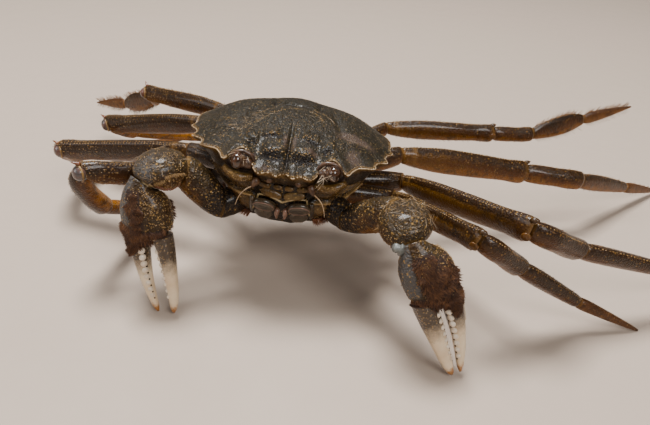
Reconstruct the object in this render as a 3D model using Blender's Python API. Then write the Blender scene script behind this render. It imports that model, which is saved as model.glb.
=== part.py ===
"""A Chinese mitten crab, Eriocheir sinensis, life-size and still, as a museum model.

The crab faces -Y with its left side at +X and stands on the floor, z = 0.
Sizes below are millimetres and degrees; make_node turns them into metres.
"""

import math
import random

import bmesh
import bpy
from mathutils import Matrix, Vector
from mathutils.bvhtree import BVHTree

# Whole body
MARGIN_HEIGHT = 38.5  # level of the carapace margin while the body is drawn level
DOME = 7.0  # rise of the carapace above its margin
CARAPACE_DEPTH = 5.0  # from the margin down to the flat underside of the carapace
BELLY_HEIGHT = 19.5  # underside of the sternum above the floor
SEAM = 0.3  # gap between neighbouring shell pieces
TIP_LEVEL = 0.35  # centre of a standing tip above the floor, cut flat at z = 0
FRONT_DROP = 2.1  # how far the frontal teeth bend down below the margin
ORBIT_ARCH = 2.2  # rise of the carapace edge over each eye

# The body is drawn level and symmetric, then given its size, lean and place between the legs
BODY_SHARE = (0.87, 0.935)  # width and length, as shares of the drawn outline
BODY_YAW = 2.5
BODY_PITCH = -3.3
BODY_ROLL = 4.8
BODY_PLACE = (0.0, -4.8, 40.0)  # middle of the margin

# Half of the carapace outline, from the front midline to the rear midline
OUTLINE = (
    (0.0, -25.6), (1.0, -26.6), (2.3, -28.2), (3.6, -27.0), (4.7, -26.5), (5.8, -27.2),
    (7.3, -28.0), (8.6, -26.4), (9.8, -24.4), (11.6, -22.9), (13.6, -22.7), (15.2, -23.6),
    (17.2, -26.4), (18.6, -23.6), (20.2, -21.2), (22.0, -20.6), (24.9, -19.9), (25.2, -17.0),
    (26.2, -14.0), (29.1, -12.2), (28.6, -9.6), (29.2, -7.2), (31.0, -5.2), (30.4, -2.8),
    (30.8, 1.0), (30.7, 5.0), (29.7, 9.0), (27.8, 13.0), (25.0, 17.0), (21.4, 20.6),
    (17.2, 23.6), (12.6, 25.4), (7.6, 26.0), (3.4, 26.2), (0.0, 26.2),
)
RING_STEPS = (0.14, 0.28, 0.42, 0.54, 0.65, 0.75, 0.84, 0.91, 0.96, 1.0)

# Walking legs: hip on the body, lengths of merus, carpus, propodus and dactyl, and the
# thickness and height of the merus
HIPS = {2: (17.0, -9.5, 27.0), 3: (18.5, -1.5, 27.0), 4: (18.0, 6.5, 27.6), 5: (15.0, 14.5, 29.0)}
LENGTHS = {
    2: (34.0, 17.0, 22.0, 21.5), 3: (43.5, 19.5, 31.0, 26.0),
    4: (43.5, 19.5, 31.0, 27.0), 5: (35.5, 14.0, 19.5, 17.5),
}
MERUS_SIZE = {2: (5.0, 7.4), 3: (5.4, 8.4), 4: (5.2, 8.0), 5: (4.2, 6.2)}
# Pose of each leg: shoulder point (start of the merus), then azimuth and elevation of
# each segment. Azimuth 0 points straight out sideways and grows to the rear.
# A dactyl elevation of None drops the tip to the floor.
POSE = {
    ("L", 2): ((29.0, -10.3, 25.6), (-56, 11), (23, -37), (13, -33), (7, None)),
    ("L", 3): ((31.5, -1.7, 26.3), (-49, 10), (25, -28), (17, -18), (40, None)),
    ("L", 4): ((30.5, 9.0, 29.6), (17, -11), (9, -8), (38, -19), (37, None)),
    ("L", 5): ((25.8, 22.0, 32.4), (12, -3), (15, -2), (22, 11), (17, 13)),
    ("R", 2): ((-20.8, -11.0, 27.8), (-31, 13), (83, -62), (100, -31), (92, None)),
    ("R", 3): ((-30.2, -3.2, 31.2), (12, -10), (70, -30), (97, -20), (135, None)),
    ("R", 4): ((-29.6, 14.0, 32.5), (24, -14), (90, -31), (139, -17), (175, None)),
    ("R", 5): ((-25.6, 22.0, 33.8), (28, -4), (78, -30), (32, -20), (26, -12)),
}

# Chelipeds: joint points from the body to the palm, and the point between the fingertips
CLAW = {
    "L": ((12.0, -20.0, 27.5), (16.6, -24.4, 26.0), (28.2, -32.2, 34.0),
          (31.9, -43.6, 32.8), (45.4, -49.9, 1.0)),
    "R": ((-12.6, -20.6, 27.5), (-16.4, -24.2, 26.5), (-25.3, -24.4, 36.6),
          (-33.8, -30.8, 35.6), (-29.2, -38.0, 1.0)),
}
PALM_LENGTH = 13.5  # from the wrist to the hinge of the dactyl
FINGER_TEETH = 7
LOCKS = 22  # locks of fur on the outer face of a palm; half as many lie on the inner face
SEED = 7


def make_material(name, color, roughness):
    material = bpy.data.materials.new(name)
    material.use_nodes = True
    shader = material.node_tree.nodes["Principled BSDF"]
    shader.inputs["Base Color"].default_value = (*color, 1.0)
    shader.inputs["Roughness"].default_value = roughness
    material.diffuse_color = (*color, 1.0)
    return material


COLORS = {
    "carapace_shell": ((0.060, 0.050, 0.032), 0.42),
    "leg_shell": ((0.110, 0.072, 0.030), 0.42),
    "dactyl_shell": ((0.160, 0.075, 0.030), 0.45),
    "claw_shell": ((0.100, 0.070, 0.036), 0.42),
    "finger_enamel": ((0.640, 0.560, 0.440), 0.35),
    "belly_shell": ((0.480, 0.430, 0.300), 0.40),
    "mouth_plate": ((0.520, 0.460, 0.330), 0.40),
    "eye_cornea": ((0.020, 0.016, 0.012), 0.20),
    "feeler_shell": ((0.240, 0.150, 0.070), 0.45),
}


def make_node(name, points, faces, slot):
    """One closed mesh object in metres, its faces turned outward."""
    mesh = bpy.data.meshes.new(name)
    mesh.from_pydata([tuple(0.001 * value for value in point) for point in points], [], faces)
    work = bmesh.new()
    work.from_mesh(mesh)
    bmesh.ops.recalc_face_normals(work, faces=work.faces)
    if work.calc_volume(signed=True) < 0:
        bmesh.ops.reverse_faces(work, faces=work.faces)
    work.to_mesh(mesh)
    work.free()
    if slot not in bpy.data.materials:
        make_material(slot, *COLORS[slot])
    mesh.materials.append(bpy.data.materials[slot])
    node = bpy.data.objects.new(name, mesh)
    bpy.context.scene.collection.objects.link(node)
    return node


def loft_mesh(rings):
    """Points and faces of a tube through rings of equal count, closed by a face at each end."""
    count = len(rings[0])
    points = [point for ring in rings for point in ring]
    faces = []
    for row in range(len(rings) - 1):
        for column in range(count):
            after = (column + 1) % count
            faces.append((
                row * count + column, row * count + after,
                (row + 1) * count + after, (row + 1) * count + column,
            ))
    faces.append(tuple(reversed(range(count))))
    faces.append(tuple((len(rings) - 1) * count + column for column in range(count)))
    return points, faces


def settle(point):
    """The place of a point of the level body once the body has its size, lean and place."""
    turn = Matrix.Rotation(math.radians(BODY_YAW), 3, "Z")
    turn = turn @ Matrix.Rotation(math.radians(BODY_PITCH), 3, "X")
    turn = turn @ Matrix.Rotation(math.radians(BODY_ROLL), 3, "Y")
    local = Vector((point[0] * BODY_SHARE[0], point[1] * BODY_SHARE[1], point[2] - MARGIN_HEIGHT))
    return turn @ local + Vector(BODY_PLACE)


def settled(shape):
    points, faces = shape
    return [settle(point) for point in points], faces


def heading(side, azimuth, elevation):
    out = 1 if side == "L" else -1
    turn, rise = math.radians(azimuth), math.radians(elevation)
    return Vector((out * math.cos(turn) * math.cos(rise), math.sin(turn) * math.cos(rise), math.sin(rise)))


def carry(up, start, end):
    """The vector up, turned as the direction start turns to end."""
    return start.rotation_difference(end) @ up


def section(center, tangent, up, half_thick, half_high, sides, crest):
    """A rounded section across the tangent, its upper edge drawn to a blunt crest."""
    across = tangent.cross(up).normalized()
    top = across.cross(tangent).normalized()
    ring = []
    for index in range(sides):
        angle = 2 * math.pi * (index + 0.5) / sides
        wide, high = math.cos(angle), math.sin(angle)
        wide = math.copysign(abs(wide) ** 0.85, wide)
        if high > 0:
            wide = wide * (1 - crest * high * high)
        ring.append(center + across * (half_thick * wide) + top * (half_high * high))
    return ring


def hermite(start, end, first, last, step):
    length = (end - start).length
    a = 2 * step ** 3 - 3 * step ** 2 + 1
    b = step ** 3 - 2 * step ** 2 + step
    c = -2 * step ** 3 + 3 * step ** 2
    d = step ** 3 - step ** 2
    return start * a + first * (b * length) + end * c + last * (d * length)


def segment_rings(start, end, first, last, up, shape, size, sides, curved, crest, gaps=(1, 1)):
    """Rings of one shell segment between two joints, and the upward vector at its end.

    first and last are the directions square to the joint faces; shape lists
    (step, thickness share, height share)."""
    chord = (end - start).normalized()
    rings = []
    before = None
    for step, thick, high in shape:
        if curved:
            center = hermite(start, end, first, last, step)
            near = hermite(start, end, first, last, min(1.0, step + 0.02))
            far = hermite(start, end, first, last, max(0.0, step - 0.02))
            tangent = (near - far).normalized()
            if step == 0.0:
                tangent = first
            if step == 1.0:
                tangent = last
        else:
            center = start.lerp(end, step)
            if step < 0.5:
                tangent = first.lerp(chord, min(1.0, step / 0.16)).normalized()
            else:
                tangent = last.lerp(chord, min(1.0, (1 - step) / 0.16)).normalized()
        if step == 0.0:
            center = center + tangent * (0.5 * SEAM * gaps[0])
        if step == 1.0:
            center = center - tangent * (0.5 * SEAM * gaps[1])
        up = carry(up, before, tangent) if before else up - tangent * up.dot(tangent)
        up.normalize()
        before = tangent
        rings.append(section(center, tangent, up, 0.5 * size[0] * thick, 0.5 * size[1] * high, sides, crest))
    return rings, up


SHAPES = {
    "base": ((0.0, 0.95, 0.8), (0.45, 1.05, 0.82), (0.75, 1.0, 0.8), (1.0, 0.86, 0.70)),
    "merus": (
        (0.0, 0.80, 0.62), (0.10, 0.92, 0.80), (0.30, 1.0, 1.0), (0.60, 1.0, 0.98),
        (0.84, 0.95, 0.88), (0.93, 1.0, 0.92), (1.0, 0.98, 0.86),
    ),
    "carpus": (
        (0.0, 0.80, 0.66), (0.18, 0.92, 0.78), (0.45, 0.98, 0.80), (0.75, 1.0, 0.82), (1.0, 0.90, 0.74),
    ),
    "propodus": (
        (0.0, 0.72, 0.58), (0.14, 0.82, 0.70), (0.45, 0.80, 0.70), (0.8, 0.72, 0.58), (1.0, 0.66, 0.48),
    ),
    "dactyl": (
        (0.0, 0.60, 0.42), (0.12, 0.62, 0.50), (0.40, 0.52, 0.42), (0.70, 0.38, 0.27),
        (0.90, 0.24, 0.16), (1.0, 0.13, 0.09),
    ),
    "paddle_propodus": (
        (0.0, 0.72, 0.62), (0.15, 0.72, 0.86), (0.45, 0.66, 1.12), (0.75, 0.60, 1.06), (1.0, 0.52, 0.62),
    ),
    "paddle_dactyl": (
        (0.0, 0.46, 0.52), (0.15, 0.46, 0.66), (0.45, 0.40, 0.56), (0.75, 0.30, 0.32), (1.0, 0.13, 0.10),
    ),
}


def leg_joints(side, number):
    """Hip, shoulder, knee and the later joints of a leg, out to its tip."""
    shoulder, *angles = POSE[(side, number)]
    out = 1 if side == "L" else -1
    hip = HIPS[number]
    joints = [settle(Vector((out * hip[0], hip[1], hip[2]))), Vector(shoulder)]
    for length, (azimuth, elevation) in zip(LENGTHS[number], angles):
        if elevation is None:
            elevation = -math.degrees(math.asin((joints[-1].z - TIP_LEVEL) / length))
        joints.append(joints[-1] + heading(side, azimuth, elevation) * length)
    return joints


def joint_faces(joints):
    """The direction square to the joint face at each joint."""
    lines = [(after - before).normalized() for before, after in zip(joints, joints[1:])]
    faces = [lines[0]]
    for before, after in zip(lines, lines[1:]):
        faces.append((before + after).normalized())
    faces.append(lines[-1])
    return faces


def dorsal(joints):
    """The upward vector of the merus: away from the side to which the leg bends."""
    merus = (joints[2] - joints[1]).normalized()
    lower = (joints[-1] - joints[2]).normalized()
    up = Vector((0, 0, 1))
    up = (up - merus * up.dot(merus)).normalized()
    bend = merus * lower.dot(merus) - lower
    if merus.angle(lower) > math.radians(25):
        up = (up + bend.normalized() * 0.9).normalized()
    return up


def keep_above_floor(rings):
    return [[Vector((point.x, point.y, max(point.z, 0.0))) for point in ring] for ring in rings]


def build_leg(side, number, shells):
    """The five segments of one walking leg; their rings are kept in shells."""
    joints = leg_joints(side, number)
    faces = joint_faces(joints)
    up = dorsal(joints)
    size = MERUS_SIZE[number]
    base_up = carry(up, (joints[2] - joints[1]).normalized(), faces[1])
    base_up = carry(base_up, faces[1], (joints[1] - joints[0]).normalized())
    names = ["base", "merus", "carpus", "propodus", "dactyl"]
    for index, name in enumerate(names):
        shape = SHAPES[name]
        if number == 5 and name in ("propodus", "dactyl"):
            shape = SHAPES["paddle_" + name]
        current = base_up if index == 0 else up
        rings, after = segment_rings(
            joints[index], joints[index + 1], faces[index], faces[index + 1], current, shape, size,
            12 if index in (1, 2) else 10, name == "carpus", 0.0 if name == "base" else 0.35,
            (0 if index == 0 else 1, 0 if index == 4 else 1),
        )
        if index > 0:
            up = after
        shells[f"{name}_{side}{number}"] = rings
        slot = "dactyl_shell" if name == "dactyl" else "leg_shell"
        make_node(f"{name}_{side}{number}", *loft_mesh(keep_above_floor(rings)), slot)


def claw_frame(side):
    """Palm start, direction of the hand, its width direction (towards the dactyl) and its outward face."""
    start, end = Vector(CLAW[side][3]), Vector(CLAW[side][4])
    along = (end - start).normalized()
    inward = Vector((-1 if side == "L" else 1, -0.25, 0.0))
    wide = (inward - along * inward.dot(along)).normalized()
    face = wide.cross(along).normalized()
    if face.y > 0:
        face = -face
    return start, along, wide, face


def oval(center, wide, face, half_wide, half_thick, sides, inner_bump=0.0):
    ring = []
    for index in range(sides):
        angle = 2 * math.pi * index / sides
        reach = half_wide * math.cos(angle)
        if math.cos(angle) > 0.3:
            reach += inner_bump
        ring.append(center + wide * reach + face * (half_thick * math.sin(angle)))
    return ring


PALM_SHAPE = {  # step along the palm, centre across it, half width, half thickness
    "L": ((0.0, -0.2, 2.9, 2.9), (0.22, -1.0, 5.0, 4.0), (0.45, -1.3, 6.2, 4.8), (0.72, -1.5, 6.3, 4.9),
          (1.0, -1.6, 5.8, 4.3)),
    "R": ((0.0, -0.2, 2.9, 2.9), (0.22, -0.5, 5.2, 4.0), (0.45, -0.4, 6.5, 4.8), (0.72, -0.4, 6.7, 4.9),
          (1.0, -0.6, 6.1, 4.3)),
}
# Share of the finger, centre across the hand, half width, half thickness
FIXED_FINGER = {
    "L": ((0.0, -4.4, 2.9, 3.6), (0.15, -4.7, 2.7, 3.3), (0.30, -4.8, 2.45, 2.9), (0.46, -4.6, 2.1, 2.35),
          (0.63, -4.1, 1.7, 1.8), (0.80, -3.3, 1.3, 1.35), (0.94, -2.4, 0.85, 0.9), (1.0, -2.0, 0.4, 0.4)),
    "R": ((0.0, -3.8, 2.9, 3.6), (0.15, -3.9, 2.6, 3.2), (0.30, -4.0, 2.3, 2.8), (0.46, -3.9, 1.95, 2.25),
          (0.63, -3.6, 1.6, 1.75), (0.80, -3.0, 1.2, 1.3), (0.94, -2.3, 0.8, 0.85), (1.0, -1.9, 0.4, 0.4)),
}
MOVING_FINGER = {
    "L": ((0.0, 1.7, 2.9, 3.0), (0.15, 1.4, 2.8, 2.8), (0.35, 1.1, 2.55, 2.35), (0.53, 0.9, 2.15, 1.95),
          (0.72, 0.7, 1.75, 1.5), (0.88, 0.5, 1.25, 1.1), (0.96, 0.4, 0.85, 0.75), (1.0, 0.3, 0.4, 0.35)),
    "R": ((0.0, 3.3, 2.5, 2.9), (0.15, 3.6, 2.15, 2.6), (0.35, 3.8, 1.85, 2.2), (0.53, 3.8, 1.6, 1.85),
          (0.72, 3.7, 1.4, 1.5), (0.88, 3.4, 1.1, 1.1), (0.96, 3.1, 0.75, 0.75), (1.0, 2.9, 0.35, 0.35)),
}


def table_row(table, step):
    """The other columns of a table at a step of its first column, on straight lines between its rows."""
    for before, after in zip(table, table[1:]):
        if step <= after[0]:
            share = (step - before[0]) / (after[0] - before[0])
            return [first + (last - first) * share for first, last in zip(before[1:], after[1:])]
    return list(table[-1][1:])


def finger_rings(side, fixed):
    """Rings of one finger, with blunt teeth along its inner edge."""
    start, along, wide, face = claw_frame(side)
    reach = (Vector(CLAW[side][4]) - start).length
    first = PALM_LENGTH - 3.0 if fixed else PALM_LENGTH + SEAM
    sign = -1 if fixed else 1
    rings = []
    steps = 2 * FINGER_TEETH + 2
    for index in range(steps + 1):
        step = index / steps
        across, half_wide, half_thick = table_row((FIXED_FINGER if fixed else MOVING_FINGER)[side], step)
        tooth = 0.55 * (1 - 0.6 * step) if index % 2 == 1 and 3 < index < steps - 1 else 0.0
        center = start + along * (first + (reach - first) * step) + wide * across
        rings.append(oval(center, wide * -sign, face, half_wide, half_thick, 8, tooth))
    return rings


def fuse(name, pieces, slot):
    """One closed surface from overlapping closed meshes, by one Boolean union."""
    body = make_node(name, *pieces[0], slot)
    helpers = bpy.data.collections.new(name + "_pieces")
    for index, piece in enumerate(pieces[1:]):
        helper = make_node(f"{name}_piece_{index}", *piece, slot)
        bpy.context.scene.collection.objects.unlink(helper)
        helpers.objects.link(helper)
    join = body.modifiers.new("fuse", "BOOLEAN")
    join.operation = "UNION"
    join.solver = "EXACT"
    join.operand_type = "COLLECTION"
    join.collection = helpers
    apply_modifiers(body)
    for helper in list(helpers.objects):
        bpy.data.objects.remove(helper)
    bpy.data.collections.remove(helpers)
    keep_largest(body)
    return body


def apply_modifiers(body):
    graph = bpy.context.evaluated_depsgraph_get()
    mesh = bpy.data.meshes.new_from_object(body.evaluated_get(graph))
    body.modifiers.clear()
    body.data = mesh


def keep_largest(body):
    """Drops every loose surface but the one that spans the most."""
    work = bmesh.new()
    work.from_mesh(body.data)
    unseen = set(work.verts)
    groups = []
    while unseen:
        group = {unseen.pop()}
        edge = list(group)
        while edge:
            near = [link.other_vert(vert) for vert in edge for link in vert.link_edges]
            edge = [vert for vert in set(near) if vert in unseen]
            unseen.difference_update(edge)
            group.update(edge)
        groups.append(group)
    groups.sort(key=lambda group: max(v.co.z for v in group) - min(v.co.z for v in group))
    for group in groups[:-1]:
        bmesh.ops.delete(work, geom=list(group), context="VERTS")
    work.to_mesh(body.data)
    work.free()


def swell(node, extra):
    """Moves the surface of a closed mesh outward by extra millimetres."""
    work = bmesh.new()
    work.from_mesh(node.data)
    work.normal_update()
    moves = [vert.normal * (0.001 * extra * min(2.0, vert.calc_shell_factor())) for vert in work.verts]
    for vert, move in zip(work.verts, moves):
        vert.co += move
    work.to_mesh(node.data)
    work.free()


def cut(body, cutters, room=1.15 * SEAM):
    """Takes closed meshes, each swollen by room, away from a body by one Boolean."""
    helpers = bpy.data.collections.new(body.name + "_cutters")
    for index, piece in enumerate(cutters):
        helper = make_node(f"{body.name}_cutter_{index}", *piece, "belly_shell")
        swell(helper, room)
        bpy.context.scene.collection.objects.unlink(helper)
        helpers.objects.link(helper)
    take = body.modifiers.new("clear", "BOOLEAN")
    take.operation = "DIFFERENCE"
    take.solver = "EXACT"
    take.operand_type = "COLLECTION"
    take.collection = helpers
    apply_modifiers(body)
    for helper in list(helpers.objects):
        bpy.data.objects.remove(helper)
    bpy.data.collections.remove(helpers)
    keep_largest(body)


def lock_mesh(root, lie, lift, length, width, thick, bend):
    """A flat tapered lock of fur that leaves its root along lie and bends towards the tip."""
    rings = []
    side = lie.cross(lift).normalized()
    for step in (0.0, 0.3, 0.62, 1.0):
        rise = lift * (0.9 * math.sin(step * 1.9))
        center = root + lie * (length * step) + rise + side * (bend * step * step)
        share = (0.8, 1.0, 0.72, 0.16)[(0.0, 0.3, 0.62, 1.0).index(step)]
        rings.append([
            center + side * (0.5 * width * share * math.cos(angle)) + lift * (0.5 * thick * math.sin(angle))
            for angle in (math.pi * index / 3 for index in range(6))
        ])
    return loft_mesh(rings)


def palm_locks(side, surface):
    """Overlapping locks of the mitten fur on the two faces of the palm and the root of its finger."""
    start, along, wide, face = claw_frame(side)
    rng = random.Random(SEED + (1 if side == "L" else 2))
    pieces = []
    for outward, count in ((1, LOCKS), (-1, LOCKS // 2)):
        for index in range(count):
            row = index // 4
            place = PALM_LENGTH * (0.38 + 0.16 * row) + rng.uniform(-0.5, 0.5)
            column = index % 4 - 1.5
            across = column * 2.9 + (1.0 if row % 2 else 0.0) - 0.4
            if place > 0.95 * PALM_LENGTH:
                across = -3.6 + column * 1.5
            across += rng.uniform(-0.4, 0.4)
            lift = face * outward
            origin = start + along * place + wide * across + lift * 12
            hit = surface.ray_cast(0.001 * origin, -lift)
            if hit[0] is None:
                continue
            root = hit[0] * 1000 - lift * 0.3 - along * 0.6
            lie = (along + wide * (0.05 * across) + lift * 0.14).normalized()
            pieces.append(lock_mesh(
                root, lie, lift, rng.uniform(3.7, 4.8), rng.uniform(2.4, 3.1), 1.1, rng.uniform(-0.9, 0.9)))
    return pieces


def build_claw(side, shells):
    points = [Vector(point) for point in CLAW[side]]
    faces = joint_faces(points[:4] + [points[4]])
    start, along, wide, face = claw_frame(side)
    up = Vector((0, 0, 1))
    up = (up - faces[0] * up.dot(faces[0])).normalized()
    sizes = ((7.0, 7.2), (7.6, 8.2), (12.6, 9.6))
    shapes = (
        ((0.0, 1.0, 1.0), (0.5, 1.0, 1.0), (1.0, 0.86, 0.86)),
        ((0.0, 0.8, 0.75), (0.2, 0.95, 0.95), (0.6, 1.0, 1.05), (0.9, 1.0, 1.0), (1.0, 0.9, 0.9)),
        ((0.0, 0.56, 0.56), (0.12, 0.80, 0.80), (0.38, 1.0, 1.0), (0.68, 0.96, 0.96), (0.9, 0.72, 0.72),
         (1.0, 0.50, 0.48)),
    )
    for index, name in enumerate(("base", "merus", "carpus")):
        rings, up = segment_rings(
            points[index], points[index + 1], faces[index], faces[index + 1], up, shapes[index], sizes[index],
            12 if index else 10, name == "carpus", 0.0, (0 if index == 0 else 1, 1))
        make_node(f"{name}_{side}1", *loft_mesh(rings), "claw_shell")
        shells[f"{name}_{side}1"] = rings
    palm = []
    for step, across, half_wide, half_thick in PALM_SHAPE[side]:
        center = start + along * (PALM_LENGTH * step) + wide * across
        lean = along.lerp(faces[3], {0.0: 1.0, 0.22: 0.35}.get(step, 0.0)).normalized()
        turn = along.rotation_difference(lean)
        if step == 0.0:
            center = center + lean * (0.5 * SEAM)
        palm.append(oval(center, turn @ wide, turn @ face, half_wide, half_thick, 16))
    shells[f"palm_{side}1"] = palm
    pieces = [loft_mesh(palm), loft_mesh(keep_above_floor(finger_rings(side, True)))]
    node = fuse(f"palm_{side}1", pieces, "claw_shell")
    if LOCKS:
        surface = BVHTree.FromObject(node, bpy.context.evaluated_depsgraph_get())
        mesh = node.data
        shell = ([tuple(1000 * value for value in vert.co) for vert in mesh.vertices],
                 [tuple(poly.vertices) for poly in mesh.polygons])
        locks = palm_locks(side, surface)
        bpy.data.objects.remove(node)
        fuse(f"palm_{side}1", [shell] + locks, "claw_shell")
    make_node(f"dactyl_{side}1", *loft_mesh(keep_above_floor(finger_rings(side, False))), "finger_enamel")


def full_outline():
    right = [(-x, y) for x, y in OUTLINE[1:-1]]
    return list(OUTLINE) + list(reversed(right))


def soft_outline(outline, rounds):
    """The outline with its teeth rounded away, for the rings inside the margin."""
    for _ in range(rounds):
        count = len(outline)
        outline = [
            tuple((outline[i - 1][k] + 2 * outline[i][k] + outline[(i + 1) % count][k]) / 4 for k in (0, 1))
            for i in range(count)
        ]
    return outline


def bump(x, y, cx, cy, rx, ry):
    return math.exp(-((x - cx) / rx) ** 2 - ((y - cy) / ry) ** 2)


def carapace_height(x, y, step):
    """Height of the carapace above its margin level, from its place and its share of the way out."""
    ax = abs(x)
    rise = DOME * (1 - step ** 2.5)
    rise += 1.0 * step ** 6 * (1 if y < -20 else max(0.0, (-y - 12) / 8 if y < -12 else 0))
    rise += 1.1 * bump(ax, y, 0, -6, 8, 7)  # gastric region
    rise += 0.9 * bump(ax, y, 0, 12, 7, 6)  # cardiac region
    rise += 0.9 * bump(ax, y, 18, 4, 9, 12)  # branchial region
    rise -= 1.2 * bump(ax, y, 7.5, 5.5, 2.6, 4.5)  # the H-shaped groove
    rise -= 1.0 * bump(ax, y, 0, 4, 6, 2.2)
    rise -= 0.9 * bump(ax, y, 13, -5, 3, 5)
    rise += 1.3 * bump(ax, y, 4.2, -21.2, 3.0, 1.7)  # front pair of ridges
    rise += 0.8 * bump(ax, y, 6.6, -14.6, 3.6, 2.2)  # second pair of ridges
    rise -= 0.8 * bump(ax, y, 0, -21.0, 1.2, 4.0)
    rise += ORBIT_ARCH * bump(ax, y, 12.4, -23.0, 2.8, 3.0)
    if y > 4:
        rise -= 0.10 * (y - 4) * step
    if y < -18:
        rise -= FRONT_DROP * min(1.0, (-y - 18) / 8) / (1 + (ax / 10.5) ** 8)
    return rise


def outline_ring(outline, soft, step, floor=None):
    ring = []
    blend = step ** 10
    for hard, smooth in zip(outline, soft):
        x = (smooth[0] * (1 - blend) + hard[0] * blend) * step
        y = (smooth[1] * (1 - blend) + hard[1] * blend) * step
        ring.append(Vector((x, y, MARGIN_HEIGHT + (carapace_height(x, y, step) if floor is None else floor))))
    return ring


def build_carapace():
    outline = full_outline()
    soft = soft_outline(outline, 6)
    rings = [outline_ring(outline, soft, step) for step in RING_STEPS]
    count = len(outline)
    edge = rings[-1]
    for share, drop in ((0.985, 1.3), (0.93, 3.4), (0.87, CARAPACE_DEPTH)):
        rings.append([
            Vector((x * share, y * share, MARGIN_HEIGHT - drop if drop == CARAPACE_DEPTH else margin.z - drop))
            for (x, y), margin in zip(outline if share > 0.98 else soft, edge)
        ])
    top = len(rings) * count
    points = [point for ring in rings for point in ring]
    points += [Vector((0, 0, MARGIN_HEIGHT + carapace_height(0, 0, 0)))]
    faces = []
    for column in range(count):
        faces.append((top, (column + 1) % count, column))
        for row in range(len(rings) - 1):
            after = (column + 1) % count
            faces.append((
                row * count + column, row * count + after,
                (row + 1) * count + after, (row + 1) * count + column,
            ))
    faces.append(tuple((len(rings) - 1) * count + column for column in range(count)))
    return make_node("carapace", *settled((points, faces)), "carapace_shell")


def build_thorax():
    """The underside of the body: cheeks, mouth frame and sternum in one solid."""
    soft = soft_outline(full_outline(), 10)
    top = MARGIN_HEIGHT - CARAPACE_DEPTH - SEAM
    levels = (
        (top, 0.86, 0.86, 0.0), (top - 4.0, 0.76, 0.85, 0.0), (top - 9.0, 0.66, 0.82, 0.2),
        (BELLY_HEIGHT + 1.4, 0.56, 0.76, 0.8), (BELLY_HEIGHT, 0.48, 0.68, 1.4),
    )
    rings = [
        [Vector((x * across, y * long + back, level)) for x, y in soft[::2]]
        for level, across, long, back in levels
    ]
    return make_node("thorax", *settled(loft_mesh(rings)), "belly_shell")


def base_rings(side, number):
    """Rings of the base and of the first part of the merus, for clearance cuts in the body."""
    if number == 1:
        points = [Vector(point) for point in CLAW[side]]
        size = (7.2, 7.2)
    else:
        points = leg_joints(side, number)
        size = MERUS_SIZE[number]
    faces = joint_faces(points)
    up = Vector((0, 0, 1))
    if number > 1:
        up = dorsal(points)
        up = carry(up, (points[2] - points[1]).normalized(), faces[1])
        up = carry(up, faces[1], (points[1] - points[0]).normalized())
    else:
        up = (up - faces[0] * up.dot(faces[0])).normalized()
    share = 1.06 if number > 1 else 1.0
    shape = ((0.0, share, share), (0.5, share, share), (1.0, share, share))
    rings, _ = segment_rings(
        points[0], points[1], faces[0], faces[1], up, shape, size, 10, False, 0.0, (0, 0))
    return rings


def merus_rings(side, number):
    points = [Vector(point) for point in CLAW[side]] if number == 1 else leg_joints(side, number)
    size = (8.2, 9.2) if number == 1 else MERUS_SIZE[number]
    faces = joint_faces(points)
    up = Vector((0, 0, 1))
    up = (up - faces[1] * up.dot(faces[1])).normalized() if number == 1 else dorsal(points)
    shape = ((0.0, 1.0, 0.92), (0.2, 1.0, 0.98), (0.6, 1.02, 1.02))
    rings, _ = segment_rings(
        points[1], points[2], faces[1], faces[2], up, shape, size, 12, False, 0.0, (0, 0))
    return rings


def plate_rings(center, along, normal, half_long, half_wide, half_thick, rows, sides):
    """A rounded plate: rings across its length, thinner and narrower to both ends."""
    across = along.cross(normal).normalized()
    rings = []
    for row in range(rows):
        step = -0.97 + 1.94 * row / (rows - 1)
        share = math.sqrt(1 - step * step) ** 0.7
        rings.append([
            center + along * (half_long * step) + across * (half_wide * share * math.cos(angle))
            + normal * (half_thick * (0.55 + 0.45 * share) * math.sin(angle))
            for angle in (2 * math.pi * (index + 0.5) / sides for index in range(sides))
        ])
    return rings


def front_pieces():
    """Rings and slots of the mouth plates, eyes and feelers."""
    pieces = {}
    level = MARGIN_HEIGHT
    for side, out in (("L", 1), ("R", -1)):
        normal = Vector((0.05 * out, -0.78, -0.62)).normalized()
        along = Vector((0.10 * out, 0.62, -0.78))
        along = (along - normal * along.dot(normal)).normalized()
        pieces[f"mouthpart_{side}"] = (plate_rings(
            Vector((4.4 * out, -22.4, level - 12.4)), along, normal, 6.0, 3.7, 1.2, 8, 10), "mouth_plate")
        stalk = Vector((out * 0.93, -0.30, 0.22)).normalized()
        rings = []
        eye = Vector((9.6 * out, -24.2, level - 0.6))
        for step, radius in (
            (0.0, 1.2), (1.0, 1.4), (2.2, 1.4), (3.2, 1.8), (4.2, 2.05), (5.3, 1.8), (6.0, 1.0),
        ):
            rings.append(oval(eye + stalk * step, stalk.cross(Vector((0, 0, 1))).normalized(),
                              stalk.cross(stalk.cross(Vector((0, 0, 1)))).normalized(), radius, radius, 10))
        pieces[f"eye_{side}"] = (rings, "eye_cornea")
        start = Vector((7.4 * out, -24.4, level - 4.2))
        lie = Vector((0.50 * out, -0.45, -0.62)).normalized()
        rings = []
        for step, radius in (
            (0.0, 1.1), (1.4, 1.15), (2.2, 0.85), (2.8, 0.4), (4.6, 0.32), (6.8, 0.26), (8.6, 0.16),
        ):
            droop = Vector((0.02 * out, 0, -0.02)) * step * step
            rings.append(oval(start + lie * step + droop, lie.cross(Vector((0, 0, 1))).normalized(),
                              lie.cross(lie.cross(Vector((0, 0, 1)))).normalized(), radius, radius, 8))
        pieces[f"antenna_{side}"] = (rings, "feeler_shell")
    return pieces


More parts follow.
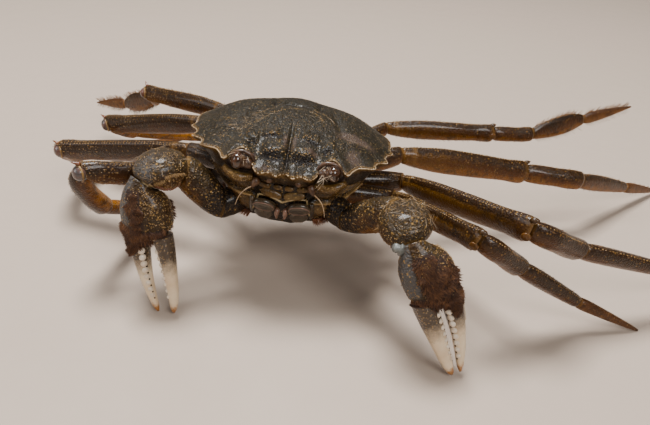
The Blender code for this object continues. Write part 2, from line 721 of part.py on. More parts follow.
def build_abdomen():
    """The broad flap folded under the sternum, its seven rings shown as steps."""
    rings = []
    steps = 15
    for index in range(steps):
        step = index / (steps - 1)
        y = 17.2 - 26.5 * step
        half = 11.6 * math.sin(math.pi * (0.10 + 0.86 * step)) ** 0.55
        depth = 1.5 + (0.5 if index % 2 else 0.0)
        row = []
        for turn in range(12):
            angle = 2 * math.pi * (turn + 0.5) / 12
            low = min(0.0, math.sin(angle))
            row.append(Vector((
                half * math.cos(angle), y, BELLY_HEIGHT - SEAM - 0.02 + depth * low)))
        rings.append(row)
    return rings


# Where a bent joint or a crossing limb needs room: the node that gives way, then the other
CLEARANCES = (
    ("merus_R1", "carpus_R1"), ("carpus_R1", "palm_R1"), ("merus_L1", "carpus_L1"), ("carpus_L1", "palm_L1"),
)


def main():
    for item in list(bpy.data.objects):
        bpy.data.objects.remove(item)
    carapace = build_carapace()
    thorax = build_thorax()
    cutters = []
    shells = {}
    for name, (rings, slot) in front_pieces().items():
        piece = settled(loft_mesh(rings))
        make_node(name, *piece, slot)
        cutters.append(piece)
    for side in ("L", "R"):
        build_claw(side, shells)
        for number in (2, 3, 4, 5):
            build_leg(side, number, shells)
        for number in (1, 2, 3, 4, 5):
            cutters.append(loft_mesh(base_rings(side, number)))
            cutters.append(loft_mesh(merus_rings(side, number)))
    for giving, taking in CLEARANCES:
        cut(bpy.data.objects[giving], [loft_mesh(shells[taking])], 1.5 * SEAM)
    cut(carapace, cutters)
    cut(thorax, cutters)
    make_node("abdomen", *settled(loft_mesh(build_abdomen())), "belly_shell")
    centre_on_origin()


def centre_on_origin():
    """Moves every node so that the middle of the whole stands over the origin."""
    nodes = list(bpy.context.scene.collection.objects)
    corners = [vert.co for node in nodes for vert in node.data.vertices]
    for axis in (0, 1):
        middle = 0.5 * (min(point[axis] for point in corners) + max(point[axis] for point in corners))
        for node in nodes:
            for vert in node.data.vertices:
                vert.co[axis] -= middle
    for node in nodes:
        node.data.update()


main()
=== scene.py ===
"""Looks of the Chinese mitten crab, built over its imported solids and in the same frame."""

import math
import random
import bmesh
import bpy
import numpy as np
from mathutils import Matrix, Vector, noise


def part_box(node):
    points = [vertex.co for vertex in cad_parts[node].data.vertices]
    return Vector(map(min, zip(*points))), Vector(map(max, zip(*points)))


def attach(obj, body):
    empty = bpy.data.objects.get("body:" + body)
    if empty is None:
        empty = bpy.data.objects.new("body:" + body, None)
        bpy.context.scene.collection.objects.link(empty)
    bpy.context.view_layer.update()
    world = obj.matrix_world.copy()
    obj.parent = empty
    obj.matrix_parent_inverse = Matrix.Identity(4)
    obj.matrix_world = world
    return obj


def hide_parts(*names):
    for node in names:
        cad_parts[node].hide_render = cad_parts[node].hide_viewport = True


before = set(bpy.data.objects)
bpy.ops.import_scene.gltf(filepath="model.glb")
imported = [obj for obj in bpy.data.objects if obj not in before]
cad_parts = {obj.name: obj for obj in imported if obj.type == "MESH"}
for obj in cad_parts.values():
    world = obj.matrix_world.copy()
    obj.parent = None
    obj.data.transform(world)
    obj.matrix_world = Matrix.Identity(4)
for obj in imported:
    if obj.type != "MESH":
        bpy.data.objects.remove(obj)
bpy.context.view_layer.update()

# Sizes and places are millimetres in the crab's own frame, nose to -Y and floor at z = 0
MARGIN_HEIGHT = 38.5
DOME = 7.0
FRONT_DROP = 2.1
ORBIT_ARCH = 2.2
BODY_SHARE = (0.87, 0.935)
BODY_YAW = 2.5
BODY_PITCH = -3.3
BODY_ROLL = 4.8
BODY_PLACE = (0.0, -4.8, 40.0)
CARAPACE_DEPTH = 5.0
BELLY_HEIGHT = 19.5
SEAM = 0.3
TIP_LEVEL = 0.35
OUTLINE = (
    (0.0, -25.6), (1.0, -26.6), (2.3, -28.2), (3.6, -27.0), (4.7, -26.5), (5.8, -27.2),
    (7.3, -28.0), (8.6, -26.4), (9.8, -24.4), (11.6, -22.9), (13.6, -22.7), (15.2, -23.6),
    (17.2, -26.4), (18.6, -23.6), (20.2, -21.2), (22.0, -20.6), (24.9, -19.9), (25.2, -17.0),
    (26.2, -14.0), (29.1, -12.2), (28.6, -9.6), (29.2, -7.2), (31.0, -5.2), (30.4, -2.8),
    (30.8, 1.0), (30.7, 5.0), (29.7, 9.0), (27.8, 13.0), (25.0, 17.0), (21.4, 20.6),
    (17.2, 23.6), (12.6, 25.4), (7.6, 26.0), (3.4, 26.2), (0.0, 26.2),
)
HIPS = {2: (17.0, -9.5, 27.0), 3: (18.5, -1.5, 27.0), 4: (18.0, 6.5, 27.6), 5: (15.0, 14.5, 29.0)}
LENGTHS = {
    2: (34.0, 17.0, 22.0, 21.5), 3: (43.5, 19.5, 31.0, 26.0),
    4: (43.5, 19.5, 31.0, 27.0), 5: (35.5, 14.0, 19.5, 17.5),
}
MERUS_SIZE = {2: (5.0, 7.4), 3: (5.4, 8.4), 4: (5.2, 8.0), 5: (4.2, 6.2)}
POSE = {
    ("L", 2): ((29.0, -10.3, 25.6), (-56, 11), (23, -37), (13, -33), (7, None)),
    ("L", 3): ((31.5, -1.7, 26.3), (-49, 10), (25, -28), (17, -18), (40, None)),
    ("L", 4): ((30.5, 9.0, 29.6), (17, -11), (9, -8), (38, -19), (37, None)),
    ("L", 5): ((25.8, 22.0, 32.4), (12, -3), (15, -2), (22, 11), (17, 13)),
    ("R", 2): ((-20.8, -11.0, 27.8), (-31, 13), (83, -62), (100, -31), (92, None)),
    ("R", 3): ((-30.2, -3.2, 31.2), (12, -10), (70, -30), (97, -20), (135, None)),
    ("R", 4): ((-29.6, 14.0, 32.5), (24, -14), (90, -31), (139, -17), (175, None)),
    ("R", 5): ((-25.6, 22.0, 33.8), (28, -4), (78, -30), (32, -20), (26, -12)),
}

CLAW = {
    "L": ((12.0, -20.0, 27.5), (16.6, -24.4, 26.0), (28.2, -32.2, 34.0),
          (31.9, -43.6, 32.8), (45.4, -49.9, 1.0)),
    "R": ((-12.6, -20.6, 27.5), (-16.4, -24.2, 26.5), (-25.3, -24.4, 36.6),
          (-33.8, -30.8, 35.6), (-29.2, -38.0, 1.0)),
}
PALM_LENGTH = 13.5
HAND_LENGTH = 35.0
FINGER_START = 14.2
TEETH = 8
FUR_LOCKS = 6400
FUR_STRANDS = 8600
FORK_LOCKS = 420
LIGHTS = (  # name, place in metres, watts, size
    ("key_light", (-0.14, 0.12, 0.85), 18.0, 0.28),
    ("front_light", (0.40, -0.65, 0.70), 8.0, 0.4),
    ("side_light", (-0.7, -0.3, 0.40), 2.0, 0.4),
)
STUDIO_TONE = (0.95, 0.92, 0.88, 1)
STUDIO_STRENGTH = 0.20
FLOOR_REACH = 4
FLOOR_TONES = ((0.375, 0.298, 0.238), (0.36, 0.285, 0.228))
CAMERA_TURN = (3.5, 31.35, 3.31)
CAMERA_PLACE = (0.0189, -0.1556, 0.1076)
CAMERA_LENS = 33.2
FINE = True


def settle(point):
    """The place of a point of the level body once the body has its size, lean and place."""
    turn = Matrix.Rotation(math.radians(BODY_YAW), 3, "Z")
    turn = turn @ Matrix.Rotation(math.radians(BODY_PITCH), 3, "X")
    turn = turn @ Matrix.Rotation(math.radians(BODY_ROLL), 3, "Y")
    local = Vector((point[0] * BODY_SHARE[0], point[1] * BODY_SHARE[1], point[2] - MARGIN_HEIGHT))
    return turn @ local + Vector(BODY_PLACE)


def margin_shift():
    """How far the crab's own frame stands from the row's, in metres, from the carapace margin."""
    corners = [settle((out * x, y, MARGIN_HEIGHT)) for x, y in OUTLINE for out in (-1, 1)]
    low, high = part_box("carapace")
    across = 0.5 * (low[0] + high[0]) - 0.0005 * (min(p.x for p in corners) + max(p.x for p in corners))
    return Vector((across, high[1] - 0.001 * max(p.y for p in corners), 0.0))


BODY = margin_shift()


# Materials


def new_material(name):
    material = bpy.data.materials.new(name)
    material.use_nodes = True
    tree = material.node_tree
    return material, tree, tree.nodes["Principled BSDF"]


def add(tree, kind, inputs=(), **settings):
    """A node with its inputs linked or set, and its own settings."""
    node = tree.nodes.new(kind)
    for key, value in settings.items():
        setattr(node, key, value)
    for key, value in dict(inputs).items():
        if isinstance(value, bpy.types.NodeSocket):
            tree.links.new(value, node.inputs[key])
        else:
            node.inputs[key].default_value = value
    return node


def mix(tree, factor, first, second, kind="MIX"):
    """Colour node that mixes two colours by a factor."""
    node = add(tree, "ShaderNodeMix", data_type="RGBA", blend_type=kind, clamp_factor=True)
    for index, value in ((0, factor), (6, first), (7, second)):
        if isinstance(value, bpy.types.NodeSocket):
            tree.links.new(value, node.inputs[index])
        elif index == 0:
            node.inputs[0].default_value = value
        else:
            node.inputs[index].default_value = (*value, 1.0)
    return node.outputs[2]


def ramp(tree, value, start, end, first=0.0, last=1.0):
    """A value mapped from one range to another, held within it."""
    node = add(tree, "ShaderNodeMapRange", {"Value": value, 1: start, 2: end, 3: first, 4: last})
    return node.outputs[0]


def combine(tree, operation, first, second):
    """Result of one arithmetic step on two values."""
    return add(tree, "ShaderNodeMath", {0: first, 1: second}, operation=operation).outputs[0]


def noise_at(tree, place, scale, detail, rough):
    inputs = {"Vector": place, "Scale": scale, "Detail": detail, "Roughness": rough}
    return add(tree, "ShaderNodeTexNoise", inputs).outputs["Fac"]


def bumped(tree, shader, height, strength, distance, under=None):
    """Gives a shader a bump from a height, over another bump where one is named."""
    inputs = {"Height": height, "Strength": strength, "Distance": distance}
    if under:
        inputs["Normal"] = under
    relief = add(tree, "ShaderNodeBump", inputs).outputs[0]
    tree.links.new(relief, shader.inputs["Normal"])
    return relief


def set_inputs(shader, values):
    for key, value in values.items():
        shader.inputs[key].default_value = value


def attribute(tree, name):
    return add(tree, "ShaderNodeAttribute", attribute_name=name).outputs["Fac"]


def shell_material(
    name, top, side, under, rim, speck,
    grain=2000.0, bumpy=0.35, rough=0.42, speck_amount=0.5, coat=0.10, marks=(),
):
    """Wet granular shell: top, flank and underside colours, paler joint rims, specks, and painted marks,
    among them painted shade and painted sheen.
    """
    material, tree, shader = new_material(name)
    place = add(tree, "ShaderNodeTexCoord").outputs["Object"]
    belly = attribute(tree, "belly")
    edge = attribute(tree, "rim")
    cloud = noise_at(tree, place, 130.0, 5.0, 0.6)
    blotch = noise_at(tree, place, 560.0, 4.0, 0.65)
    fleck = noise_at(tree, place, 2100.0, 3.0, 0.7)
    drift = combine(tree, "MULTIPLY", combine(tree, "ADD", cloud, -0.5), 0.9)
    shaded = combine(tree, "ADD", belly, drift)
    deep = tuple(0.25 * value for value in side)
    color = mix(tree, ramp(tree, shaded, 0.22, 0.55), top, side)
    color = mix(tree, ramp(tree, shaded, 0.58, 0.92), color, under)
    color = mix(tree, ramp(tree, cloud, 0.45, 0.75, 0.0, 0.5), color, deep)
    color = mix(tree, ramp(tree, blotch, 0.48, 0.62, 0.0, 0.75), color, deep)
    ragged = combine(tree, "ADD", blotch, -0.5)
    # Marks named dark are painted shade and marks named sheen carry painted sheen; the others are the
    # shell's own colour
    for key, paint, strength in marks:
        spread = combine(tree, "ADD", attribute(tree, key), ragged)
        color = mix(tree, ramp(tree, spread, 0.25, 0.65, 0.0, strength), color, paint)
    color = mix(tree, ramp(tree, fleck, 0.55, 0.70, 0.0, speck_amount), color, speck)
    # Dots of the speck colour on some of the grains
    grains = add(tree, "ShaderNodeTexVoronoi", {"Vector": place, "Scale": 0.55 * grain,
        "Randomness": 1.0})
    chosen = add(tree, "ShaderNodeSeparateColor", {"Color": grains.outputs["Color"]}).outputs["Red"]
    near = ramp(tree, grains.outputs["Distance"], 0.12, 0.34, 1.0, 0.0)
    color = mix(tree, combine(tree, "MULTIPLY", near, ramp(tree, chosen, 0.45, 0.75)), color, speck)
    color = mix(tree, edge, color, rim)
    tree.links.new(color, shader.inputs["Base Color"])
    tree.links.new(ramp(tree, cloud, 0.3, 0.7, rough - 0.10, rough + 0.16), shader.inputs["Roughness"])
    set_inputs(shader, {"IOR": 1.25, "Coat Weight": coat, "Coat Roughness": 0.10})
    cells = add(tree, "ShaderNodeTexVoronoi", {"Vector": place, "Scale": grain, "Randomness": 0.9})
    height = ramp(tree, cells.outputs["Distance"], 0.0, 0.7, 1.0, 0.0)
    granules = bumped(tree, shader, height, bumpy, 0.00025)
    bumped(tree, shader, blotch, bumpy, 0.0004, granules)
    return material


def plain_material(
    name, color, other, rough, scale=500.0, bumpy=0.2, coat=0.0, distance=0.0002, blend=(0.35, 0.7),
):
    """Two colours mixed by a fine noise, with a light bump."""
    material, tree, shader = new_material(name)
    place = add(tree, "ShaderNodeTexCoord").outputs["Object"]
    grain = noise_at(tree, place, scale, 4.0, 0.65)
    tree.links.new(mix(tree, ramp(tree, grain, *blend), color, other), shader.inputs["Base Color"])
    tree.links.new(ramp(tree, grain, 0.3, 0.7, rough - 0.08, rough + 0.1), shader.inputs["Roughness"])
    bumped(tree, shader, grain, bumpy, distance)
    set_inputs(shader, {"Specular IOR Level": 0.35, "Coat Weight": coat, "Coat Roughness": 0.08})
    return material


def hair_material(name, root, tip, other, rough=0.55):
    """Strands that lighten towards their tips, each with its own tint."""
    material, tree, shader = new_material(name)
    along = attribute(tree, "along")
    tint = attribute(tree, "tint")
    color = mix(tree, ramp(tree, along, 0.1, 1.0), root, tip)
    color = mix(tree, ramp(tree, tint, 0.35, 1.0, 0.0, 0.8), color, other)
    tree.links.new(color, shader.inputs["Base Color"])
    set_inputs(shader, {"Roughness": rough, "Specular IOR Level": 0.30})
    return material


def finger_material(name):
    """Ivory fingers: granular brown at the root, cream along the blade, amber at the tip."""
    material, tree, shader = new_material(name)
    place = add(tree, "ShaderNodeTexCoord").outputs["Object"]
    run = attribute(tree, "run")
    grain = noise_at(tree, place, 700.0, 4.0, 0.7)
    streak = noise_at(tree, place, 160.0, 3.0, 0.5)
    spots = add(tree, "ShaderNodeTexVoronoi", {"Vector": place, "Scale": 1500.0}).outputs["Distance"]
    reach = combine(tree, "ADD", run, combine(tree, "MULTIPLY", grain, 0.22))
    root = mix(tree, ramp(tree, spots, 0.05, 0.4), (0.25, 0.145, 0.048), (0.035, 0.019, 0.008))
    blade = mix(tree, ramp(tree, streak, 0.35, 0.7), (0.62, 0.49, 0.325), (0.50, 0.355, 0.215))
    color = mix(tree, ramp(tree, reach, 0.38, 0.62), root, blade)
    color = mix(tree, ramp(tree, reach, 0.98, 1.06), color, (0.26, 0.095, 0.012))
    tree.links.new(color, shader.inputs["Base Color"])
    set_inputs(shader, {
        "Roughness": 0.30, "Coat Weight": 0.30,
        "Subsurface Weight": 0.08, "Subsurface Radius": (0.002, 0.001, 0.0006)})
    bumps = ramp(tree, spots, 0.0, 0.6, 1.0, 0.0)
    fade = ramp(tree, reach, 0.35, 0.70, 1.0, 0.04)
    bumped(tree, shader, combine(tree, "MULTIPLY", bumps, fade), 0.6, 0.0003)
    return material


# Near-black colour of the painted shade marks
DARK = (0.004, 0.002, 0.0015)
PAINTS = {
    "carapace": shell_material(
        "carapace_shell", (0.0125, 0.0098, 0.0056), (0.028, 0.0165, 0.006), (0.060, 0.031, 0.008),
        (0.16, 0.083, 0.022), (0.125, 0.083, 0.034), grain=2200.0, bumpy=0.7, rough=0.42,
        speck_amount=0.36, coat=0.07, marks=(
            # dark is painted shade on the crest steps, grooves and pits; blush and gold are the shell's own
            # colour
            ("dark", DARK, 0.95), ("blush", (0.074, 0.047, 0.036), 0.55),
            ("gold", (0.22, 0.135, 0.045), 0.7))),
    "leg": shell_material(
        "leg_shell", (0.0165, 0.0072, 0.0019), (0.068, 0.0195, 0.0012), (0.24, 0.084, 0.0032),
        (0.19, 0.092, 0.022), (0.16, 0.078, 0.017), bumpy=0.5, rough=0.32, speck_amount=0.34, coat=0.26,
        # sheen is the leg's own amber front band with painted sheen over it
        marks=(("sheen", (0.120, 0.049, 0.0036), 0.75),)),
    "dactyl": shell_material(
        "dactyl_shell", (0.062, 0.022, 0.006), (0.125, 0.046, 0.010), (0.21, 0.085, 0.020),
        (0.25, 0.115, 0.033), (0.19, 0.090, 0.028), bumpy=0.3, rough=0.40, speck_amount=0.3, coat=0.12),
    "claw": shell_material(
        "claw_shell", (0.026, 0.0165, 0.0072), (0.052, 0.0205, 0.0045), (0.175, 0.070, 0.008),
        (0.19, 0.100, 0.026), (0.25, 0.140, 0.038), grain=1700.0, bumpy=0.95, rough=0.38,
        # sheen is painted bluish grey sheen; dark is painted shade near the body
        speck_amount=0.42, coat=0.14, marks=(("sheen", (0.060, 0.057, 0.056), 0.85), ("dark", DARK, 0.9))),
    "belly": shell_material(
        "belly_shell", (0.052, 0.026, 0.0052), (0.085, 0.042, 0.0088), (0.205, 0.132, 0.052),
        (0.25, 0.150, 0.045), (0.20, 0.120, 0.040), bumpy=0.35, rough=0.34, speck_amount=0.38, coat=0.20,
        # dark is painted shade in the mouth recess and the cheek grooves
        marks=(("dark", DARK, 0.95),)),
    "finger": finger_material("finger_enamel"),
}
for key, *values in (  # name, two colours, roughness, grain scale, bump, coat, depth of the bump
    ("mouth", "mouth_plate", (0.058, 0.040, 0.021), (0.014, 0.0075, 0.003), 0.32, 420.0, 0.5, 0.25),
    ("pink", "mouth_inner", (0.20, 0.105, 0.070), (0.085, 0.040, 0.022), 0.34, 600.0, 0.2, 0.25),
    ("cream", "frame_edge", (0.26, 0.185, 0.085), (0.13, 0.078, 0.026), 0.36, 500.0, 0.2, 0.2),
    # The hollow behind the eye is painted shade
    ("hollow_shade", "orbit_painted_shade", (0.004, 0.002, 0.0012), (0.026, 0.009, 0.005), 0.5, 700.0, 0.4),
    ("eye", "eye_cornea", (0.010, 0.005, 0.003), (0.070, 0.026, 0.010), 0.16, 900.0, 0.06, 0.7),
    ("stalk", "eye_stalk", (0.018, 0.007, 0.0035), (0.080, 0.034, 0.012), 0.38, 900.0, 0.5, 0.25),
    ("feeler", "feeler_shell", (0.035, 0.014, 0.006), (0.105, 0.052, 0.022), 0.42, 900.0, 0.4),
    ("thread", "feeler_thread", (0.38, 0.26, 0.15), (0.21, 0.115, 0.055), 0.42, 1200.0, 0.2),
    ("membrane", "joint_membrane", (0.11, 0.065, 0.028), (0.040, 0.017, 0.008), 0.42, 450.0, 0.5, 0.2),
    ("pale_skin", "wrist_membrane", (0.155, 0.160, 0.148), (0.050, 0.046, 0.036), 0.42, 420.0, 0.7, 0.2),
    # The knee ball's grey-blue is painted reflection on its wet shell
    ("knob", "joint_knob", (0.046, 0.050, 0.050), (0.115, 0.030, 0.011), 0.26, 330.0, 0.25, 0.5),
    ("rust", "rust_bead", (0.085, 0.020, 0.007), (0.19, 0.066, 0.022), 0.32, 400.0, 0.1, 0.3),
    ("bead", "shell_bead", (0.26, 0.150, 0.046), (0.090, 0.042, 0.011), 0.34, 300.0, 0.1, 0.25),
    ("pearl", "margin_bead", (0.42, 0.31, 0.185), (0.18, 0.10, 0.04), 0.32, 300.0, 0.1, 0.2),
    ("tooth", "finger_tooth", (0.62, 0.53, 0.42), (0.46, 0.34, 0.23), 0.30, 500.0, 0.1, 0.25),
    # The ground under the palm fur, the tooth gaps and the finger's hinge groove are painted shade
    ("shade_fill", "painted_shade_fill", (0.008, 0.003, 0.0015), (0.034, 0.0115, 0.004), 0.75, 1500.0, 0.9, 0.0, 0.0006),
):
    PAINTS[key] = plain_material(*values)
for key, *values in (  # name, colour at the root, at the tip, and of some strands
    ("fur", "palm_fur", (0.007, 0.0025, 0.0012), (0.050, 0.0165, 0.005), (0.150, 0.060, 0.018)),
    ("bristle", "edge_bristle", (0.045, 0.017, 0.005), (0.18, 0.080, 0.025), (0.26, 0.125, 0.040)),
    ("golden", "golden_bristle", (0.05, 0.022, 0.006), (0.24, 0.125, 0.036), (0.34, 0.205, 0.075)),
    ("pale_hair", "pale_hair", (0.12, 0.070, 0.038), (0.36, 0.26, 0.16), (0.48, 0.38, 0.27)),
    ("rust_hair", "rust_fringe", (0.045, 0.010, 0.004), (0.16, 0.046, 0.014), (0.27, 0.105, 0.032)),
):
    PAINTS[key] = hair_material(*values)


# Mesh helpers


def mesh_piece(name, points, faces, material, values=None, smooth=True, body=False):
    """An object at the origin whose mesh holds the given millimetre points, in metres."""
    mesh = bpy.data.meshes.new(name)
    if body:
        points = [settle(point) for point in points]
    mesh.from_pydata([tuple(BODY + 0.001 * Vector(point)) for point in points], [], faces)
    for key, data in (values or {}).items():
        layer = mesh.attributes.new(key, "FLOAT", "POINT")
        layer.data.foreach_set("value", list(data))
    work = bmesh.new()
    work.from_mesh(mesh)
    bmesh.ops.recalc_face_normals(work, faces=work.faces)
    if work.calc_volume(signed=True) < 0:
        bmesh.ops.reverse_faces(work, faces=work.faces)
    work.to_mesh(mesh)
    work.free()
    if smooth:
        mesh.shade_smooth()
    mesh.materials.append(material)
    piece = bpy.data.objects.new(name, mesh)
    bpy.context.scene.collection.objects.link(piece)
    return piece


def tube_faces(rows, count, base=0):
    """Faces between rings of count points, and fans round the two points that follow them."""
    faces = []
    for row in range(rows - 1):
        low, high = base + row * count, base + (row + 1) * count
        for column in range(count):
            after = (column + 1) % count
            faces.append((low + column, low + after, high + after, high + column))
    middle = base + rows * count
    last_row = middle - count
    for column in range(count):
        after = (column + 1) % count
        faces.append((middle, base + after, base + column))
        faces.append((middle + 1, last_row + column, last_row + after))
    return faces


def loft(rings, base=0):
    """Points and faces of a tube through rings, closed at each end by a fan round a middle point."""
    count = len(rings[0])
    points = [Vector(point) for ring in rings for point in ring]
    for end in (rings[0], rings[-1]):
        points.append(sum((Vector(point) for point in end), Vector()) / count)
    return points, tube_faces(len(rings), count, base)


def clamp(value):
    return max(0.0, min(1.0, value))


def bell(distance, width):
    """1 at a place and falling to 0 some widths from it."""
    return math.exp(-(distance / width) ** 2)


class Shell:
    """Gathers several closed forms and their shading values into one mesh."""

    def __init__(self):
        self.points, self.faces = [], []
        self.values = {"belly": [], "rim": [], "run": [], "sheen": [], "dark": []}

    def take(self, rings, belly, rim, run, sheen=None, dark=None):
        """belly, rim, run, sheen and dark are functions of (row share, column share)."""
        points, faces = loft(rings, len(self.points))
        self.points += points
        self.faces += faces
        count = len(rings[0])
        rows = len(rings) - 1
        spots = [(row / rows, column / count) for row in range(rows + 1) for column in range(count)]
        spots += [(0.0, 0.25), (1.0, 0.25)]
        for key, rule in (("belly", belly), ("rim", rim), ("run", run), ("sheen", sheen), ("dark", dark)):
            self.values[key] += [rule(row, column) if rule else 0.0 for row, column in spots]

    def build(self, name, material, body=False):
        return mesh_piece(name, self.points, self.faces, material, self.values, body=body)


def finish(piece, slot, *nodes):
    """Rides the piece on the one body and hides the solids it stands for; the slot is not used."""
    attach(piece, "root")
    if nodes:
        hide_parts(*nodes)
    return piece


def heading(side, azimuth, elevation):
    """Unit vector of an azimuth and elevation, mirrored for the right side."""
    out = 1 if side == "L" else -1
    turn, rise = math.radians(azimuth), math.radians(elevation)
    return Vector((out * math.cos(turn) * math.cos(rise), math.sin(turn) * math.cos(rise),
        math.sin(rise)))


def carry(up, start, end):
    """A vector turned as its line turns from start to end."""
    return start.rotation_difference(end) @ up


def hermite(start, end, first, last, step):
    """A point on the curve between two places with given directions."""
    length = (end - start).length
    a = 2 * step ** 3 - 3 * step ** 2 + 1
    b = step ** 3 - 2 * step ** 2 + step
    c = -2 * step ** 3 + 3 * step ** 2
    d = step ** 3 - step ** 2
    return start * a + first * (b * length) + end * c + last * (d * length)


def cubic(a, b, c, d, t):
    """A smooth value between b and c, at share t of the way."""
    square = (2 * a - 5 * b + 4 * c - d) * t ** 2
    return 0.5 * (2 * b + (c - a) * t + square + (3 * b - a - 3 * c + d) * t ** 3)


def smooth_value(shape, step):
    """The row of a shape table at a step, on a smooth curve through its rows."""
    rows = [shape[0]] + list(shape) + [shape[-1]]
    for index in range(1, len(rows) - 2):
        left, right = rows[index][0], rows[index + 1][0]
        if step <= right or index == len(rows) - 3:
            share = clamp((step - left) / max(1e-6, right - left))
            near = [rows[index + offset] for offset in (-1, 0, 1, 2)]
            return [cubic(*(row[column] for row in near), share) for column in range(1, len(rows[0]))]


# Repeated small things


def group_tree(name, sizes):
    """An empty Geometry Nodes tree with named inputs, a material and one geometry output."""
    tree = bpy.data.node_groups.new(name, "GeometryNodeTree")
    tree.interface.new_socket("Geometry", in_out="INPUT", socket_type="NodeSocketGeometry")
    for label, kind, value in sizes:
        socket = tree.interface.new_socket(label, in_out="INPUT", socket_type=kind)
        if value is not None:
            socket.default_value = value
    tree.interface.new_socket("Material", in_out="INPUT", socket_type="NodeSocketMaterial")
    tree.interface.new_socket("Geometry", in_out="OUTPUT", socket_type="NodeSocketGeometry")
    entry = tree.nodes.new("NodeGroupInput")
    leave = tree.nodes.new("NodeGroupOutput")
    return tree, entry.outputs, leave.inputs[0]


def named(tree, name, kind="FLOAT"):
    """A named value of the points a tree works on."""
    node = add(tree, "GeometryNodeInputNamedAttribute", {"Name": name}, data_type=kind)
    return node.outputs["Attribute"]


def stored(tree, geometry, name, value, kind, **settings):
    node = add(tree, "GeometryNodeStoreNamedAttribute", {
        "Geometry": geometry, "Name": name, "Value": value}, data_type=kind, **settings)
    return node.outputs[0]


def dress(tree, geometry, material, result):
    """Smooth shading and the material, at the end of a tree."""
    smooth = add(tree, "GeometryNodeSetShadeSmooth", {"Geometry": geometry})
    dressed = add(tree, "GeometryNodeSetMaterial", {"Geometry": smooth.outputs[0], "Material": material})
    tree.links.new(dressed.outputs[0], result)


def strand_tree():
    """Bent tapered strands on the points of a mesh, turned by its lie and lift vectors."""
    tree, given, result = group_tree("strand_coat", (
        ("Strand steps", "NodeSocketInt", 5), ("Strand sides", "NodeSocketInt", 4),
        ("Curl", "NodeSocketFloat", 0.25), ("Patch size", "NodeSocketFloat", 0.003)))
    curl = given["Curl"]
    middle = add(tree, "ShaderNodeCombineXYZ", {"Y": combine(tree, "MULTIPLY", curl, -0.35), "Z": 0.5})
    end = add(tree, "ShaderNodeCombineXYZ", {"Y": curl, "Z": 1.0})
    line = add(tree, "GeometryNodeCurveQuadraticBezier", {
        "Resolution": given["Strand steps"], "Start": (0, 0, 0),
        "Middle": middle.outputs[0], "End": end.outputs[0]})
    factor = add(tree, "GeometryNodeSplineParameter").outputs["Factor"]
    taper = combine(tree, "SUBTRACT", 1.0, combine(tree, "POWER", factor, 2.2))
    taper = combine(tree, "ADD", taper, 0.06)
    thin = add(tree, "GeometryNodeSetCurveRadius", {"Curve": line.outputs[0], "Radius": taper})
    ring = add(tree, "GeometryNodeCurvePrimitiveCircle",
        {"Resolution": given["Strand sides"], "Radius": 0.5})
    strand = add(tree, "GeometryNodeCurveToMesh", {
        "Curve": thin.outputs[0], "Profile Curve": ring.outputs[0], "Fill Caps": True})
    if "Scale" in strand.inputs:
        tree.links.new(taper, strand.inputs["Scale"])
    # Each strand keeps its length share and its way across, for its colour and its patch
    spot = add(tree, "GeometryNodeInputPosition").outputs[0]
    parts = add(tree, "ShaderNodeSeparateXYZ", {0: spot})
    along = stored(tree, strand.outputs[0], "along", parts.outputs["Z"], "FLOAT")
    around = stored(tree, along, "turn", parts.outputs["X"], "FLOAT")
    place = add(tree, "GeometryNodeInstanceOnPoints", {"Points": given["Geometry"], "Instance": around})
    aim = add(tree, "FunctionNodeAlignRotationToVector", {"Vector": named(tree, "lie", "FLOAT_VECTOR")},
        axis="Z")
    turn = add(tree, "FunctionNodeAlignRotationToVector", {
        "Rotation": aim.outputs[0], "Vector": named(tree, "lift", "FLOAT_VECTOR")}, axis="Y",
        pivot_axis="Z")
    tree.links.new(turn.outputs[0], place.inputs["Rotation"])
    tree.links.new(named(tree, "size", "FLOAT_VECTOR"), place.inputs["Scale"])
    real = add(tree, "GeometryNodeRealizeInstances", {"Geometry": place.outputs[0]})
    root = add(tree, "ShaderNodeCombineXYZ", {"X": named(tree, "root_u"), "Y": named(tree, "root_v")})
    size = given["Patch size"]
    patch = add(tree, "ShaderNodeCombineXYZ", {
        "X": combine(tree, "MULTIPLY", named(tree, "turn"), size),
        "Y": combine(tree, "MULTIPLY", named(tree, "along"), size)})
    sum_of_both = add(tree, "ShaderNodeVectorMath", {0: root.outputs[0], 1: patch.outputs[0]},
        operation="ADD")
    baked = stored(tree, real.outputs[0], "OFBake", sum_of_both.outputs[0], "FLOAT2", domain="CORNER")
    dress(tree, baked, given["Material"], result)
    return tree


def bead_tree():
    """Round granules on the points of a mesh, of the size that each point states."""
    tree, given, result = group_tree("bead_row", (("Bead detail", "NodeSocketInt", 1),))
    ball = add(tree, "GeometryNodeMeshIcoSphere", {"Radius": 1.0, "Subdivisions": given["Bead detail"]})
    lift = named(tree, "lift", "FLOAT_VECTOR")
    aim = add(tree, "FunctionNodeAlignRotationToVector", {"Vector": lift}, axis="Z")
    place = add(tree, "GeometryNodeInstanceOnPoints", {
        "Points": given["Geometry"], "Instance": ball.outputs[0], "Rotation": aim.outputs[0],
        "Scale": named(tree, "size", "FLOAT_VECTOR")})
    real = add(tree, "GeometryNodeRealizeInstances", {"Geometry": place.outputs[0]})
    dress(tree, real.outputs[0], given["Material"], result)
    return tree


STRANDS = strand_tree()
BEADS = bead_tree()


def around_body(point):
    """Place of a root on the body's side wall, unrolled round its middle."""
    return (0.5 + math.atan2(point[0], -point[1]) / (2 * math.pi), point[2] / 60.0)


